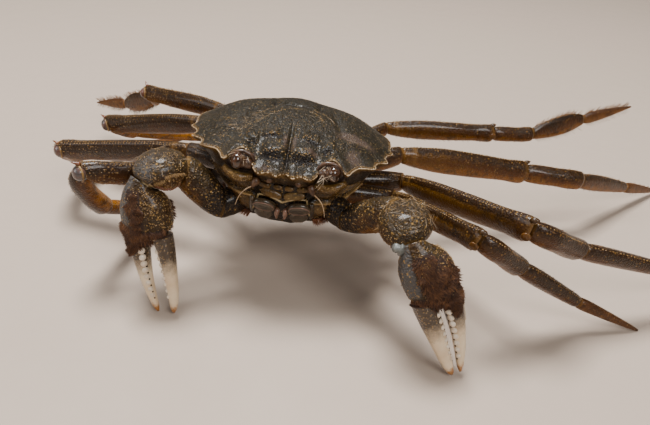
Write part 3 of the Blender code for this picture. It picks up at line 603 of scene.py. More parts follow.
def grow(name, tree, roots, material, body=False, **sizes):
    """Runs a tree on root points and returns the plain mesh object it makes.

    roots is a list of (point, lie, lift, (wide, thick, long), u, v, tint), in millimetres."""
    roots = [
        root if root[4] is not None else tuple(root[:4]) + around_body(root[0]) + tuple(root[6:])
        for root in roots]
    if body:
        roots = [(settle(root[0]),) + tuple(root[1:]) for root in roots]
    mesh = bpy.data.meshes.new(name + "_roots")
    mesh.from_pydata([tuple(BODY + 0.001 * Vector(root[0])) for root in roots], [], [])
    for key, column, scale in (("lie", 1, 1.0), ("lift", 2, 1.0), ("size", 3, 0.001)):
        layer = mesh.attributes.new(key, "FLOAT_VECTOR", "POINT")
        layer.data.foreach_set("vector", [scale * value for root in roots for value in root[column]])
    for key, column in (("root_u", 4), ("root_v", 5), ("tint", 6)):
        layer = mesh.attributes.new(key, "FLOAT", "POINT")
        layer.data.foreach_set("value", [root[column] for root in roots])
    holder = bpy.data.objects.new(name + "_roots", mesh)
    bpy.context.scene.collection.objects.link(holder)
    modifier = holder.modifiers.new("grow", "NODES")
    modifier.node_group = tree
    sizes["Material"] = material
    for item in tree.interface.items_tree:
        if item.in_out == "INPUT" and item.name in sizes:
            modifier[item.identifier] = sizes[item.name]
    bpy.context.view_layer.update()
    graph = bpy.context.evaluated_depsgraph_get()
    made = bpy.data.meshes.new_from_object(holder.evaluated_get(graph))
    made.name = name
    bpy.data.objects.remove(holder)
    piece = bpy.data.objects.new(name, made)
    bpy.context.scene.collection.objects.link(piece)
    for key in ("lie", "lift", "size", "root_u", "root_v", "turn"):
        if key in made.attributes:
            made.attributes.remove(made.attributes[key])
    return piece


def grow_beads(name, roots, material, slot, detail=1, body=False):
    return finish(grow(name, BEADS, roots, PAINTS[material], body, **{"Bead detail": detail}), slot)


def grow_hair(name, roots, material, slot, steps=3, sides=3, curl=0.25, body=False):
    sizes = {"Strand steps": steps, "Strand sides": sides, "Curl": curl}
    return finish(grow(name, STRANDS, roots, PAINTS[material], body, **sizes), slot)


def steady(value):
    """A shading rule that gives one value everywhere."""
    return lambda row, column: value


def row_share(row, column):
    """The shading rule of values that rise along a piece."""
    return row


def form_piece(name, forms, material, slot, belly, rim, *nodes, body=False):
    """One piece made of several lofted forms in one tone."""
    shell = Shell()
    for rings in forms:
        shell.take(rings, steady(belly), steady(rim), row_share)
    return finish(shell.build(name, PAINTS[material], body), slot, *nodes)


def body_piece(name, forms, material, slot, *nodes):
    return form_piece(name, forms, material, slot, 0.55, 0.0, *nodes, body=True)


def scatter(rng, *reaches):
    """A random way: each reach is a range, or a number for a range round 0."""
    ranges = [reach if isinstance(reach, tuple) else (-reach, reach) for reach in reaches]
    return Vector([rng.uniform(low, high) if high > low else high for low, high in ranges])


def hair(rng, root, lie, lift, thick, long, u=None, v=None):
    """The root of a strand of a random length and tint."""
    return (root, tuple(lie), tuple(lift), (thick, thick, rng.uniform(*long)), u, v, rng.random())


def bead(point, size, lift=(0, 0, 1), flat=1.0):
    return (point, (0, 0, 1), lift, (size, size, size * flat), 0.0, 0.0, 0.0)


# Carapace


def catmull(points, parts):
    """Smooth closed line through the points, with parts steps between each two."""
    count = len(points)
    result = []
    for index in range(count):
        a, b, c, d = (points[(index + offset) % count] for offset in (-1, 0, 1, 2))
        for part in range(parts):
            result.append(tuple(cubic(a[k], b[k], c[k], d[k], part / parts) for k in (0, 1)))
    return result


def full_outline():
    """Both sides of the carapace margin, as one closed line."""
    return list(OUTLINE) + list(reversed([(-x, y) for x, y in OUTLINE[1:-1]]))


def soft_outline(outline, rounds):
    """A closed line smoothed a number of times."""
    for _ in range(rounds):
        count = len(outline)
        outline = [
            tuple((outline[i - 1][k] + 2 * outline[i][k] + outline[(i + 1) % count][k]) / 4
            for k in (0, 1))
            for i in range(count)
        ]
    return outline


def bump(x, y, cx, cy, rx, ry):
    """A round hump of height 1, for arrays of places."""
    return np.exp(-((x - cx) / rx) ** 2 - ((y - cy) / ry) ** 2)


def crest(x, y, cx, cy, rx, high, tilt):
    """A ridge with a long slope behind and a steep step in front, highest at cx."""
    line = cy + tilt * (x - cx)
    t = y - line
    rear = np.exp(-(np.maximum(t, 0) / 3.0) ** 2)
    front = np.exp(-(np.minimum(t, 0) / 0.55) ** 2)
    across = 1 / (1 + ((x - cx) / rx) ** 8)
    return high * across * np.where(t > 0, rear, front)


SWELLS = (  # height, middle and half sizes of the humps and hollows, the same on both sides
    (1.1, 0, -6, 8, 7), (0.9, 0, 12, 7, 6), (0.9, 18, 4, 9, 12), (-0.9, 7.2, 4.0, 1.3, 4.0),
    (-0.8, 0, 3.2, 5.5, 1.1), (-0.5, 20, -11, 6, 1.3), (-0.9, 0, -19.5, 0.6, 6.0),
    (-0.6, 10.8, -19.6, 1.4, 0.9))
CRESTS = (  # middle, half width, height and tilt
    (4.0, -22.4, 3.1, 1.5, -0.06), (5.8, -16.9, 2.3, 0.8, 0.05), (10.8, -18.4, 1.8, 0.8, 0.3),
    (20.5, -12.5, 3.4, 0.6, 0.35))


def carapace_height(x, y, step):
    """Height above the margin level; x, y and step are arrays."""
    ax = np.abs(x)
    rise = DOME * (1 - step ** 2.5)
    nose = np.where(y < -20, 1.0, np.clip((-y - 12) / 8, 0, 1))
    rise = rise + 1.0 * step ** 6 * nose
    groove = 13.2 - 0.25 * (y + 5)
    for high, cx, cy, rx, ry in SWELLS:
        rise = rise + high * bump(ax, y, cx, cy, rx, ry)
    rise = rise - 0.8 * bump(ax, y, groove, -5, 1.3, 6)
    for cx, cy, rx, high, tilt in CRESTS:
        rise = rise + crest(ax, y, cx, cy, rx, high, tilt)
    rise = rise + ORBIT_ARCH * bump(ax, y, 12.4, -23.0, 2.8, 3.0)
    rise = rise - np.where(y > 4, 0.10 * (y - 4) * step, 0.0)
    rise = rise - FRONT_DROP * np.clip((-y - 18) / 8, 0, 1) / (1 + (ax / 10.5) ** 8)
    return rise


def line_share(x, y, line, reach):
    """1 on a broken line of points and 0 beyond reach from it, for arrays of places."""
    best = np.full(x.shape, 1e9)
    for (ax, ay), (bx, by) in zip(line, line[1:]):
        t = np.clip(((x - ax) * (bx - ax) + (y - ay) * (by - ay)) / ((bx - ax) ** 2 + (by - ay) ** 2),
            0, 1)
        best = np.minimum(best, np.hypot(x - ax - t * (bx - ax), y - ay - t * (by - ay)))
    return np.clip(1 - best / reach, 0, 1)


GOLD_LINES = (
    ((-18.5, -12.5), (-14.5, -14.2), (-11.3, -11.8), (-8.6, -8.6), (-6.3, -6.2), (-2.8, -3.4),
    (0.8, -1.8), (4.4, -2.4),
     (7.3, -4.4), (9.1, -8.4)),
    ((-20.6, -8.0), (-15.5, -9.6), (-10.0, -5.6), (-6.0, -1.6)),
    ((5.0, 0.5), (8.5, -1.6), (12.0, -5.6)),
    ((-23.0, -15.5), (-18.0, -17.0), (-14.5, -17.3)),
)


CREST_BEADS = (  # middle, half width, tilt and number of beads
    (4.0, -22.4, 3.3, -0.06, 15), (5.8, -16.9, 2.2, 0.05, 10), (10.8, -18.4, 1.6, 0.3, 7))
SCRIBBLES = (  # middle, reach and number
    (-15.5, -15.0, 4.5, 34), (-11.0, -9.0, 4.0, 20), (8.0, -6.0, 4.0, 12), (18.0, -12.0, 4.0, 16))


def carapace_marks(x, y):
    """Painted marks of the carapace: painted shade on the front faces of the crest steps and in the grooves
    and pits, rubbed patches and speckled lines.
    """
    ax = np.abs(x)
    dark = 1.1 * bump(ax, y, 4.0, -23.3, 3.6, 0.75) + 0.9 * bump(ax, y, 5.8, -17.7, 2.6, 0.7)
    dark = dark + 1.0 * bump(ax, y, 10.8, -19.6, 1.5, 0.9) + 0.7 * bump(ax, y, 0, -20.0, 0.45, 5.5)
    dark = dark + 0.5 * bump(ax, y, 7.2, 4.0, 1.0, 3.4) + 0.5 * bump(ax, y, 0, 3.2, 4.5, 0.8)
    blush = 0.95 * bump(x, y, 18.5, -10.4, 6.2, 2.4) + 0.8 * bump(x, y, 6.6, -20.8, 2.4, 1.3)
    blush = blush + 0.75 * bump(x, y, 18.5, -19.0, 2.6, 4.0) + 0.7 * bump(ax, y, 1.3, -19.0, 0.8, 3.4)
    blush = blush + 0.5 * bump(x, y, -6.5, -26.0, 5.0, 1.2)
    gold = np.zeros(x.shape)
    for line in GOLD_LINES:
        gold = np.maximum(gold, 0.34 * line_share(x, y, line, 1.0))
    return dark, blush, gold


def build_carapace():
    base = full_outline()
    parts = 8 if FINE else 4
    hard = np.array(catmull(base, parts))
    soft = np.array(soft_outline(catmull(base, parts), 6 * parts * parts))
    count = len(hard)
    rows = 92 if FINE else 46
    steps = [((index + 1) / rows) ** 0.9 for index in range(rows)]
    points = []
    values = {"belly": [], "rim": [], "dark": [], "blush": [], "gold": []}
    for step in steps:
        blend = step ** 10
        ring = (soft * (1 - blend) + hard * blend) * step
        x, y = ring[:, 0], ring[:, 1]
        z = MARGIN_HEIGHT + carapace_height(x, y, step)
        marks = carapace_marks(x, y)
        for key, mark in zip(("dark", "blush", "gold"), marks):
            values[key] += [float(value) for value in mark]
        for px, py, pz in zip(x, y, z):
            rough = 0.12 * noise.noise(Vector((px * 0.9, py * 0.9, 3)))
            rough += 0.08 * noise.noise(Vector((px * 2.6, py * 2.6, 9)))
            points.append((px, py, pz + rough * min(1.0, 6 * (1 - step) + 0.25)))
            edge = max(0.0, (step - 0.90) / 0.10)
            values["belly"].append(0.15 + 0.45 * edge ** 2)
            worn = 0.5 + 0.5 * noise.noise(Vector((px * 0.5, py * 0.5, 4)))
            worn *= 0.45 if py < -20 and abs(px) < 11 else 1.0
            values["rim"].append(worn * max(0.0, (step - 0.98) / 0.02))
    # The rim turns under and closes on the flat underside
    edge_z = [points[index - count][2] for index in range(count)]
    turned = (
        (1.0, 0.35, 0.6), (0.992, 0.8, 0.4), (0.97, 1.5, 0.1), (0.93, 3.4, 0.0),
        (0.87, CARAPACE_DEPTH, 0.0))
    for share, drop, tone in turned:
        ring = (hard if share > 0.98 else soft) * share
        for index in range(count):
            level = MARGIN_HEIGHT - drop if drop == CARAPACE_DEPTH else edge_z[index] - drop
            points.append((ring[index][0], ring[index][1], level))
            values["belly"].append(0.75)
            values["rim"].append(tone)
            # Painted shade on the lower rows of the turned rim, under the overhang of the margin
            values["dark"].append(0.0 if drop < 1.0 else 0.5)
    faces = tube_faces(len(points) // count, count)
    middle = np.array([0.0])
    points.append((0, 0, MARGIN_HEIGHT + float(carapace_height(middle, middle, middle)[0])))
    points.append((0, 0, MARGIN_HEIGHT - CARAPACE_DEPTH))
    for key in values:
        values[key] += [0.0] * (len(points) - len(values[key]))
    piece = mesh_piece("carapace_skin", points, faces, PAINTS["carapace"], values, body=True)
    finish(piece, "carapace_shell", "carapace")
    last_row = (len(steps) - 1) * count
    dress_carapace(points[last_row:last_row + count], hard, soft)


def dress_carapace(margin, hard, soft):
    """Beads along the margin, the crests and the speckled lines, and fine pale scribbles."""
    rng = random.Random(11)
    pearls, beads = [], []
    for column, (x, y, z) in enumerate(margin):
        if y > 18:
            continue
        size = rng.uniform(0.08, 0.25)
        if y < -20 and abs(x) < 11 and rng.random() < 0.6:
            continue
        out = Vector((x, y, 0)).normalized()
        pearls.append(bead(Vector((x, y, z - 0.15)) + out * 0.05, size, out))
        if column % 2 == 0:
            beads.append(bead((x * 0.985, y * 0.985, z + 0.22), size * 0.8))
    for cx, cy, rx, tilt, number in CREST_BEADS:
        for out in (-1, 1):
            for index in range(number):
                ax = cx + rx * (2 * index / (number - 1) - 1)
                y = cy + tilt * (ax - cx) + rng.uniform(-0.25, 0.25) - 0.1
                z = top_height(ax, y, step_of(ax * out, y, hard))
                beads.append(bead((out * ax, y, z), rng.uniform(0.12, 0.24), (0, -0.4, 1)))
    for line in GOLD_LINES:
        for (ax, ay), (bx, by) in zip(line, line[1:]):
            for _ in range(int(3.2 * math.hypot(bx - ax, by - ay))):
                share = rng.random()
                x = ax + (bx - ax) * share + rng.gauss(0, 0.45)
                y = ay + (by - ay) * share + rng.gauss(0, 0.45)
                z = top_height(x, y, step_of(x, y, hard))
                beads.append(bead((x, y, z), rng.uniform(0.07, 0.17), flat=0.6))
    for _ in range(1500 if FINE else 300):
        column = rng.randrange(len(soft))
        share = math.sqrt(rng.uniform(0.05, 0.95))
        x, y = soft[column][0] * share, soft[column][1] * share
        z = top_height(x, y, share)
        beads.append(bead((x, y, z), rng.uniform(0.05, 0.14) * (0.6 + 0.6 * share), flat=0.7))
    scribbles = []
    for cx, cy, reach, number in SCRIBBLES:
        for _ in range(number if FINE else number // 2):
            x, y = cx + rng.gauss(0, 0.5 * reach), cy + rng.gauss(0, 0.5 * reach)
            z = top_height(x, y, step_of(x, y, hard))
            turn = rng.uniform(0, 2 * math.pi)
            dx, dy = math.cos(turn), math.sin(turn)
            after = top_height(x + dx, y + dy, step_of(x + dx, y + dy, hard))
            lie = Vector((dx, dy, after - z + 0.06)).normalized()
            root = Vector((x, y, z + 0.04))
            scribbles.append(hair(rng, root, lie, (0, 0, 1), 0.06, (0.8, 2.2), 0.5 + x / 60, 0.5 + y / 60))
    grow_hair("carapace_scribbles", scribbles, "pale_hair", "carapace_shell", 6, 4, 0.35, body=True)
    grow_beads("carapace_beads", beads, "bead", "carapace_shell", body=True)
    grow_beads("carapace_margin", pearls, "pearl", "carapace_shell", body=True)


def top_height(x, y, step):
    """Height of the carapace surface at one place."""
    return MARGIN_HEIGHT + float(carapace_height(np.array([x]), np.array([y]), np.array([step]))[0])


def step_of(x, y, outline):
    """Share of the way from the middle to the margin."""
    angle = math.atan2(y, x)
    best = min(outline, key=lambda p: abs(math.atan2(p[1], p[0]) - angle))
    return min(1.0, math.hypot(x, y) / max(1e-6, math.hypot(best[0], best[1])))


# Underside and face


def thorax_level(z):
    """Share across, share deep and shift back of the body at a height."""
    top = MARGIN_HEIGHT - CARAPACE_DEPTH - SEAM
    shape = (
        (0.0, 0.86, 0.86, 0.0), (4.0 / 13.7, 0.76, 0.85, 0.0), (9.0 / 13.7, 0.66, 0.82, 0.2),
        (12.3 / 13.7, 0.56, 0.76, 0.8), (1.0, 0.48, 0.68, 1.4))
    return smooth_value(shape, (top - z) / (top - BELLY_HEIGHT))


def cheek_line(ax):
    """Height of the beaded line along the cheek, and of the fringe below it."""
    upper = 27.6 + 0.09 * (ax - 8) + 0.035 * max(0.0, ax - 15) ** 2
    lower = 21.9 + 0.75 * max(0.0, ax - 14)
    return upper, lower


def build_thorax():
    outline = soft_outline(catmull(full_outline(), 4), 90)
    top = MARGIN_HEIGHT - CARAPACE_DEPTH - SEAM
    rings, values = [], {"belly": [], "rim": [], "dark": []}
    rows = 70 if FINE else 40
    for row in range(rows + 1):
        z = top + (BELLY_HEIGHT - top) * row / rows
        across, depth, back = thorax_level(z)
        share = row / rows
        ring = []
        for x, y in outline:
            px, py = x * across, y * depth + back
            out = Vector((x, y, 0)).normalized()
            front = clamp(-out.y * 1.6)
            ax = abs(px)
            upper, lower = cheek_line(ax)
            cheek = front * clamp((ax - 7.5) / 1.5)
            push = 0.5 * bell(z - upper, 0.45) * cheek
            push -= 0.5 * bell(z - upper - 1.1, 0.6) * cheek
            push += 0.6 * bell(z - upper + 2.4, 1.5) * cheek
            push -= 0.6 * bell(z - lower - 0.9, 0.6) * cheek
            push += 0.25 * noise.noise(Vector((px * 0.5, py * 0.5, z * 0.5)))
            ring.append(Vector((px, py, z)) + out * push)
            tone = 0.12 + 0.42 * bell(z - upper + 2.4, 1.6) * cheek
            tone += 0.25 * bell(z - 31.5, 1.6) * cheek
            tone += 0.5 * max(0.0, share - 0.85) / 0.15
            values["belly"].append(tone + 0.10 * noise.noise(Vector((px * 0.3, py * 0.3, z * 0.4))))
            values["rim"].append(0.45 * bell(z - upper, 0.30) * cheek)
            # Painted shade: the whole mouth recess behind the mouth plates, and the grooves above and below
            # the beaded line, go darker
            mouth = front * clamp((9.4 - ax) / 1.4) * (1.0 if z > 20.6 else 0.0)
            groove = 0.9 * bell(z - upper - 0.9, 0.35) * cheek
            groove += 1.0 * bell(z - lower + 0.4, 1.1) * cheek
            values["dark"].append(min(1.2, 1.2 * mouth + groove))
        rings.append(ring)
    points, faces = loft(rings)
    for key, end in (("belly", (0.3, 0.8)), ("rim", (0, 0)), ("dark", (0, 0))):
        values[key] += list(end)
    piece = mesh_piece("thorax_skin", points, faces, PAINTS["belly"], values, body=True)
    finish(piece, "belly_shell", "thorax")
    dress_cheeks(outline)


def dress_cheeks(outline):
    """Beaded lines, rusty fringe and granules on the front of the body."""
    rng = random.Random(21)
    beads, rusty, fringe, fluff = [], [], [], []
    for out in (-1, 1):
        for index in range(44):
            ax = 8.0 + 14.5 * index / 43
            spot, normal = on_front(out * ax, cheek_line(ax)[0], outline)
            beads.append(bead(spot + normal * 0.45, 0.34 * rng.uniform(0.7, 1.15), normal, 1.3))
            for _ in range(3):
                lie = (normal + scatter(rng, 0.4, 0, (-0.9, 0.1))).normalized()
                fluff.append(hair(rng, spot + normal * 0.3, lie, (0, 0, 1), 0.09, (0.5, 1.0)))
        for index in range(34):
            ax = 9.5 + 11.0 * index / 33
            spot, normal = on_front(out * ax, cheek_line(ax)[1], outline)
            rusty.append(bead(spot + normal * 0.35, 0.25 * rng.uniform(0.8, 1.1), normal, 1.4))
            for _ in range(16):
                lie = (normal * 0.8 + scatter(rng, 0.3, 0, (-1.2, -0.2))).normalized()
                root = spot + normal * 0.2 + scatter(rng, 0.3, 0, 0.4)
                fringe.append(hair(rng, root, lie, (0, 0, 1), 0.12, (0.9, 2.0)))
        # Fine granules over the cheek between the margin and the beaded line
        for _ in range(520):
            ax = rng.uniform(9.0, 22.0)
            upper = cheek_line(ax)[0]
            z = rng.uniform(upper + 0.3, 33.0) if rng.random() < 0.75 else rng.uniform(22.5, upper)
            spot, normal = on_front(out * ax, z, outline)
            beads.append(bead(spot + normal * 0.02, rng.uniform(0.06, 0.14), normal, 0.8))
    grow_beads("face_beads", beads, "bead", "belly_shell", body=True)
    grow_beads("face_rust_beads", rusty, "rust", "belly_shell", body=True)
    grow_hair("face_fringe", fringe, "rust_hair", "belly_shell", body=True)
    grow_hair("face_setae", fluff, "bristle", "belly_shell", body=True)


def on_front(x, z, outline):
    """The place and outward normal on the front of the body at a given x and height."""
    across, long, back = thorax_level(z)
    best = min((p for p in outline if p[1] < 0), key=lambda p: abs(p[0] * across - x))
    return Vector((x, best[1] * long + back, z)), Vector((best[0], best[1], 0)).normalized()


def oval(center, wide, face, half_wide, half_thick, sides, power=1.0):
    """One ring of a form, rounder or squarer by its power."""
    ring = []
    for index in range(sides):
        angle = 2 * math.pi * index / sides
        c, s = math.cos(angle), math.sin(angle)
        ring.append(center + wide * (half_wide * math.copysign(abs(c) ** power, c))
                    + face * (half_thick * math.copysign(abs(s) ** power, s)))
    return ring


def tube(path, radii, sides, up=Vector((0, 0, 1)), flat=1.0):
    """Rings along a path of points, closed to a point-like end where the radius is small."""
    rings = []
    for index, (center, radius) in enumerate(zip(path, radii)):
        before = path[max(0, index - 1)]
        after = path[min(len(path) - 1, index + 1)]
        tangent = (after - before).normalized()
        wide = tangent.cross(up).normalized()
        face = wide.cross(tangent).normalized()
        rings.append(oval(center, wide, face, radius, radius * flat, sides))
    return rings


def plate(
    center, along, normal, half_long, half_wide, half_thick, rows=22, sides=28, furrow=0.0, square=0.62,
):
    """Rings of a rounded plate, with a furrow along its outer face where one is wanted."""
    across = along.cross(normal).normalized()
    rings = []
    for row in range(rows):
        step = -0.985 + 1.97 * row / (rows - 1)
        share = math.sqrt(1 - step * step) ** square
        ring = []
        for index in range(sides):
            angle = 2 * math.pi * (index + 0.5) / sides
            wide, high = math.cos(angle), math.sin(angle)
            dent = furrow * bell(wide, 0.25) if high > 0 else 0
            rise = half_thick * (0.5 + 0.5 * share) * high - dent * share
            point = center + along * (half_long * step) + across * (half_wide * share * wide)
            ring.append(point + normal * rise)
        rings.append(ring)
    return rings


def build_mouthpart(side, out):
    normal = Vector((0.05 * out, -0.80, -0.60)).normalized()
    along = Vector((0.10 * out, 0.60, -0.80))
    along = (along - normal * along.dot(normal)).normalized()
    across = along.cross(normal).normalized()
    if across.x * out < 0:
        across = -across
    middle = Vector((4.7 * out, -22.6, MARGIN_HEIGHT - 12.4))
    oval_center = middle - along * 1.0 + across * 0.5
    lower = middle + along * 3.3
    steps = np.linspace(0, 1, 12)
    strip = [middle + across * (4.3 - 0.6 * t) + along * (7.4 * t - 3.0) - normal * 0.3 for t in steps]
    strip_radii = [0.3 + 0.55 * math.sin(math.pi * (0.1 + 0.8 * t)) ** 0.6 for t in steps]
    forms = [
        plate(oval_center, across, normal, 3.4, 2.25, 1.2, furrow=0.3, square=0.95),
        plate(lower, along, normal, 2.6, 3.1, 1.0, furrow=0.25, square=0.8),
        tube(strip, strip_radii, 12, normal, 0.8),
    ]
    body_piece(f"mouthpart_plates_{side}", forms, "mouth", "mouth_plate", f"mouthpart_{side}")
    steps = np.linspace(0, 1, 10)
    palp = [
        Vector((out * (1.0 + 0.25 * math.sin(2.6 * t)), -23.6 + 0.9 * t, MARGIN_HEIGHT - 12.2 - 3.0 * t))
        for t in steps]
    palp_radii = [0.35 + 0.42 * math.sin(math.pi * min(1, t + 0.15)) for t in steps]
    rim = []
    for index in range(40):
        angle = 2 * math.pi * index / 39
        point = oval_center + across * (3.0 * math.cos(angle)) + along * (1.95 * math.sin(angle))
        rim.append(point + normal * 0.72)
    forms = [tube(palp, palp_radii, 10, normal), tube(rim, [0.15] * 40, 6, normal)]
    body_piece(f"mouthpart_rims_{side}", forms, "pink", "mouth_plate")
    rng = random.Random(31 + out)
    setae = []
    for _ in range(150):
        angle = rng.uniform(0, 2 * math.pi)
        spoke = across * (3.4 * math.cos(angle)) + along * (2.3 * math.sin(angle))
        lie = (spoke.normalized() * 0.7 + normal * 0.4).normalized()
        root = oval_center + spoke * 0.97
        setae.append(hair(rng, root, lie, normal, 0.09, (0.4, 1.0)))
    grow_hair(f"mouthpart_setae_{side}", setae, "fur", "mouth_plate", body=True)


def build_eye(side, out):
    level = MARGIN_HEIGHT
    stalk = Vector((out * 0.93, -0.30, 0.22)).normalized()
    eye = Vector((9.6 * out, -24.2, level - 0.6))
    wide = stalk.cross(Vector((0, 0, 1))).normalized()
    face = wide.cross(stalk).normalized()
    table = (
        (0.0, 1.15), (0.14, 1.42), (0.30, 1.32), (0.44, 1.42), (0.56, 1.80), (0.72, 2.0), (0.88, 1.65),
        (0.96, 0.95), (1.0, 0.3))
    stalk_rings, cornea_rings = [], []
    for index in range(31):
        step = index / 30
        radius = max(0.25, smooth_value(table, step)[0])
        center = eye + stalk * (6.0 * step)
        if step <= 0.62:
            fold = radius * (1 + 0.05 * math.sin(34 * step))
            stalk_rings.append(oval(center, wide, face, fold, fold, 24))
        if step >= 0.56:
            cornea_rings.append(oval(center, wide, face, radius * 1.02, radius * 1.02, 24))
    body_piece(f"eye_stalk_{side}", [stalk_rings], "stalk", "eye_cornea")
    body_piece(f"eye_cornea_{side}", [cornea_rings], "eye", "eye_cornea", f"eye_{side}")
    # Painted shade in the hollow behind the eye, as a near-black plate, then its lower lip and the fold
    # round the eye
    hollow = plate(
        Vector((12.5 * out, -22.6, level - 0.4)), Vector((1, 0.05 * out, 0)).normalized(),
        Vector((0, -0.97, 0.24)), 4.5, 2.7, 1.5)
    fold = []
    for t in np.linspace(0, 1, 22):
        angle = math.pi * (1.15 - 1.45 * t)
        rise = level + 0.2 + 2.2 * math.sin(angle)
        fold.append(Vector((out * (12.3 - 3.4 * math.cos(angle)), -24.3, rise)))
    fold_radii = [0.25 + 0.28 * math.sin(math.pi * t) for t in np.linspace(0, 1, 22)]
    body_piece(f"orbit_hollow_{side}", [hollow], "hollow_shade", "belly_shell")
    fold = tube(fold, fold_radii, 10, Vector((0, 1, 0)))
    body_piece(f"orbit_fold_{side}", [fold], "stalk", "belly_shell")
    lip = []
    for t in np.linspace(0, 1, 18):
        bow = math.sin(math.pi * t)
        rise = level - 4.0 - 0.5 * bow + 1.6 * t * t
        lip.append(Vector((out * (8.8 + 8.6 * t), -23.8 - 1.1 * bow, rise)))
    lip_radii = [0.5 + 0.75 * math.sin(math.pi * (0.12 + 0.76 * t)) for t in np.linspace(0, 1, 18)]
    body_piece(f"orbit_lip_{side}", [tube(lip, lip_radii, 14)], "belly", "belly_shell")
    rng = random.Random(61 + out)
    grains = []
    for point, radius in zip(lip[1:-1], lip_radii[1:-1]):
        for _ in range(7):
            lift = scatter(rng, 0.3, (-1, -1), (-0.4, 1.0)).normalized()
            grains.append(bead(point + lift * radius, rng.uniform(0.09, 0.2), tuple(lift), 0.9))
    grow_beads(f"orbit_grains_{side}", grains, "bead", "belly_shell", body=True)
    threads = []
    for _ in range(26):
        angle = rng.uniform(-0.6, 2.6)
        spoke = wide * math.cos(angle) + face * math.sin(angle)
        root = eye + stalk * rng.uniform(1.0, 5.2) + spoke * rng.uniform(1.5, 2.1)
        lie = stalk * rng.uniform(-0.9, 0.9) + scatter(rng, 0, (-0.5, -0.5), (-0.8, 0.5)) + spoke * 0.2
        size = rng.uniform(0.07, 0.13)
        threads.append(hair(rng, root, lie.normalized(), spoke, size, (1.4, 3.2)))
    grow_hair(f"eye_threads_{side}", threads, "pale_hair", "eye_cornea", 6, 4, 0.5, body=True)


def build_feelers(side, out):
    level = MARGIN_HEIGHT
    start = Vector((7.4 * out, -24.4, level - 4.2))
    lie = Vector((0.50 * out, -0.45, -0.62)).normalized()
    places = ((0.0, 0.95), (0.8, 1.12), (1.5, 1.0), (2.1, 0.7), (2.7, 0.4))
    forms = [tube([start + lie * place for place, _ in places], [radius for _, radius in places], 14)]
    short = [
        Vector((out * (3.2 + 1.9 * t), -24.9 - 0.5 * math.sin(math.pi * t), level - 3.4 - 0.7 * t))
        for t in np.linspace(0, 1, 8)]
    forms.append(tube(short, [0.35, 0.62, 0.75, 0.72, 0.75, 0.62, 0.45, 0.2], 12))
    body_piece(f"feelers_{side}", forms, "feeler", "feeler_shell", f"antenna_{side}")
    thread = []
    for t in np.linspace(0, 1, 20):
        bow = Vector((0.9 * out * math.sin(2.6 * t), -0.3 * t, 0.7 * math.sin(math.pi * t)))
        thread.append(start + lie * (2.4 + 6.2 * t) + bow)
    forms = [tube(thread, [0.19 - 0.13 * t for t in np.linspace(0, 1, 20)], 8)]
    body_piece(f"feeler_thread_{side}", forms, "thread", "feeler_shell")


def build_face():
    for side, out in (("L", 1), ("R", -1)):
        build_mouthpart(side, out)
        build_eye(side, out)
        build_feelers(side, out)
    # Plates and pale edges of the mouth frame, between the front and the mouth
    steps = np.linspace(0, 1, 16)
    panels, edges = [], []
    for out in (-1, 1):
        tilt = Vector((0.1 * out, -0.9, 0.35)).normalized()
        for center, along, long, wide, thick in (
            ((3.3, -23.3, 30.3), (0.98, 0.05, 0.16), 3.1, 1.15, 0.6),
            ((1.6, -23.6, 32.4), (out, 0, 0), 1.3, 0.7, 0.5),
            ((5.6, -23.2, 32.5), (0.97, 0, 0.2), 1.9, 0.85, 0.55),
        ):
            center = Vector((center[0] * out, center[1], center[2]))
            along = Vector((along[0] * out, along[1], along[2])).normalized()
            panels.append(plate(center, along, tilt, long, wide, thick))
        sweep = [
            Vector((out * 6.9 * t, -23.9 + 0.9 * t * t, 28.5 + 1.1 * t + 0.5 * math.sin(math.pi * t)))
            for t in steps]
        edges.append(tube(sweep, [0.30 - 0.08 * t for t in steps], 10))
        drop = [Vector((out * (7.0 + 1.3 * t), -22.9, 29.5 - 4.2 * t)) for t in steps]
        edges.append(tube(drop, [0.30 - 0.1 * t for t in steps], 10))
    body_piece("mouth_frame_panels", panels, "belly", "belly_shell")
    body_piece("mouth_frame_edges", edges, "cream", "belly_shell")


def build_abdomen():
    rings, values = [], {"belly": [], "rim": [], "run": []}
    rows = 84
    for row in range(rows + 1):
        step = row / rows
        y = 17.2 - 26.5 * step
        half = 11.6 * math.sin(math.pi * (0.10 + 0.86 * step)) ** 0.55
        groove = abs(math.sin(math.pi * 7 * step)) ** 0.35
        ring = []
        for index in range(48):
            angle = 2 * math.pi * (index + 0.5) / 48
            low = min(0.0, math.sin(angle))
            depth = 1.3 + 0.6 * groove * (1 - 0.3 * abs(math.cos(angle)))
            ring.append(Vector((half * math.cos(angle), y, BELLY_HEIGHT - SEAM - 0.02 + depth * low)))
            values["belly"].append(0.95)
            values["rim"].append(0.25 * (1 - groove))
            values["run"].append(step)
        rings.append(ring)
    points, faces = loft(rings)
    for key in values:
        values[key] += [0.95 if key == "belly" else 0.0] * 2
    piece = mesh_piece("abdomen_flap", points, faces, PAINTS["belly"], values, body=True)
    finish(piece, "belly_shell", "abdomen")
    # Plates of the breast, four to a side, beside the flap
    plates = []
    for out in (-1, 1):
        along = Vector((0.97 * out, 0.12, 0.20)).normalized()
        normal = Vector((0.15 * out, 0, -1)).normalized()
        for index in range(4):
            center = Vector((out * (12.4 - 0.5 * abs(index - 1)), -9.5 + 6.4 * index, BELLY_HEIGHT + 0.1))
            plates.append(plate(center, along, normal, 4.2, 2.8, 0.7, 14, 20))
    form_piece("breast_plates", plates, "belly", "belly_shell", 0.95, 0.1, body=True)


# Legs


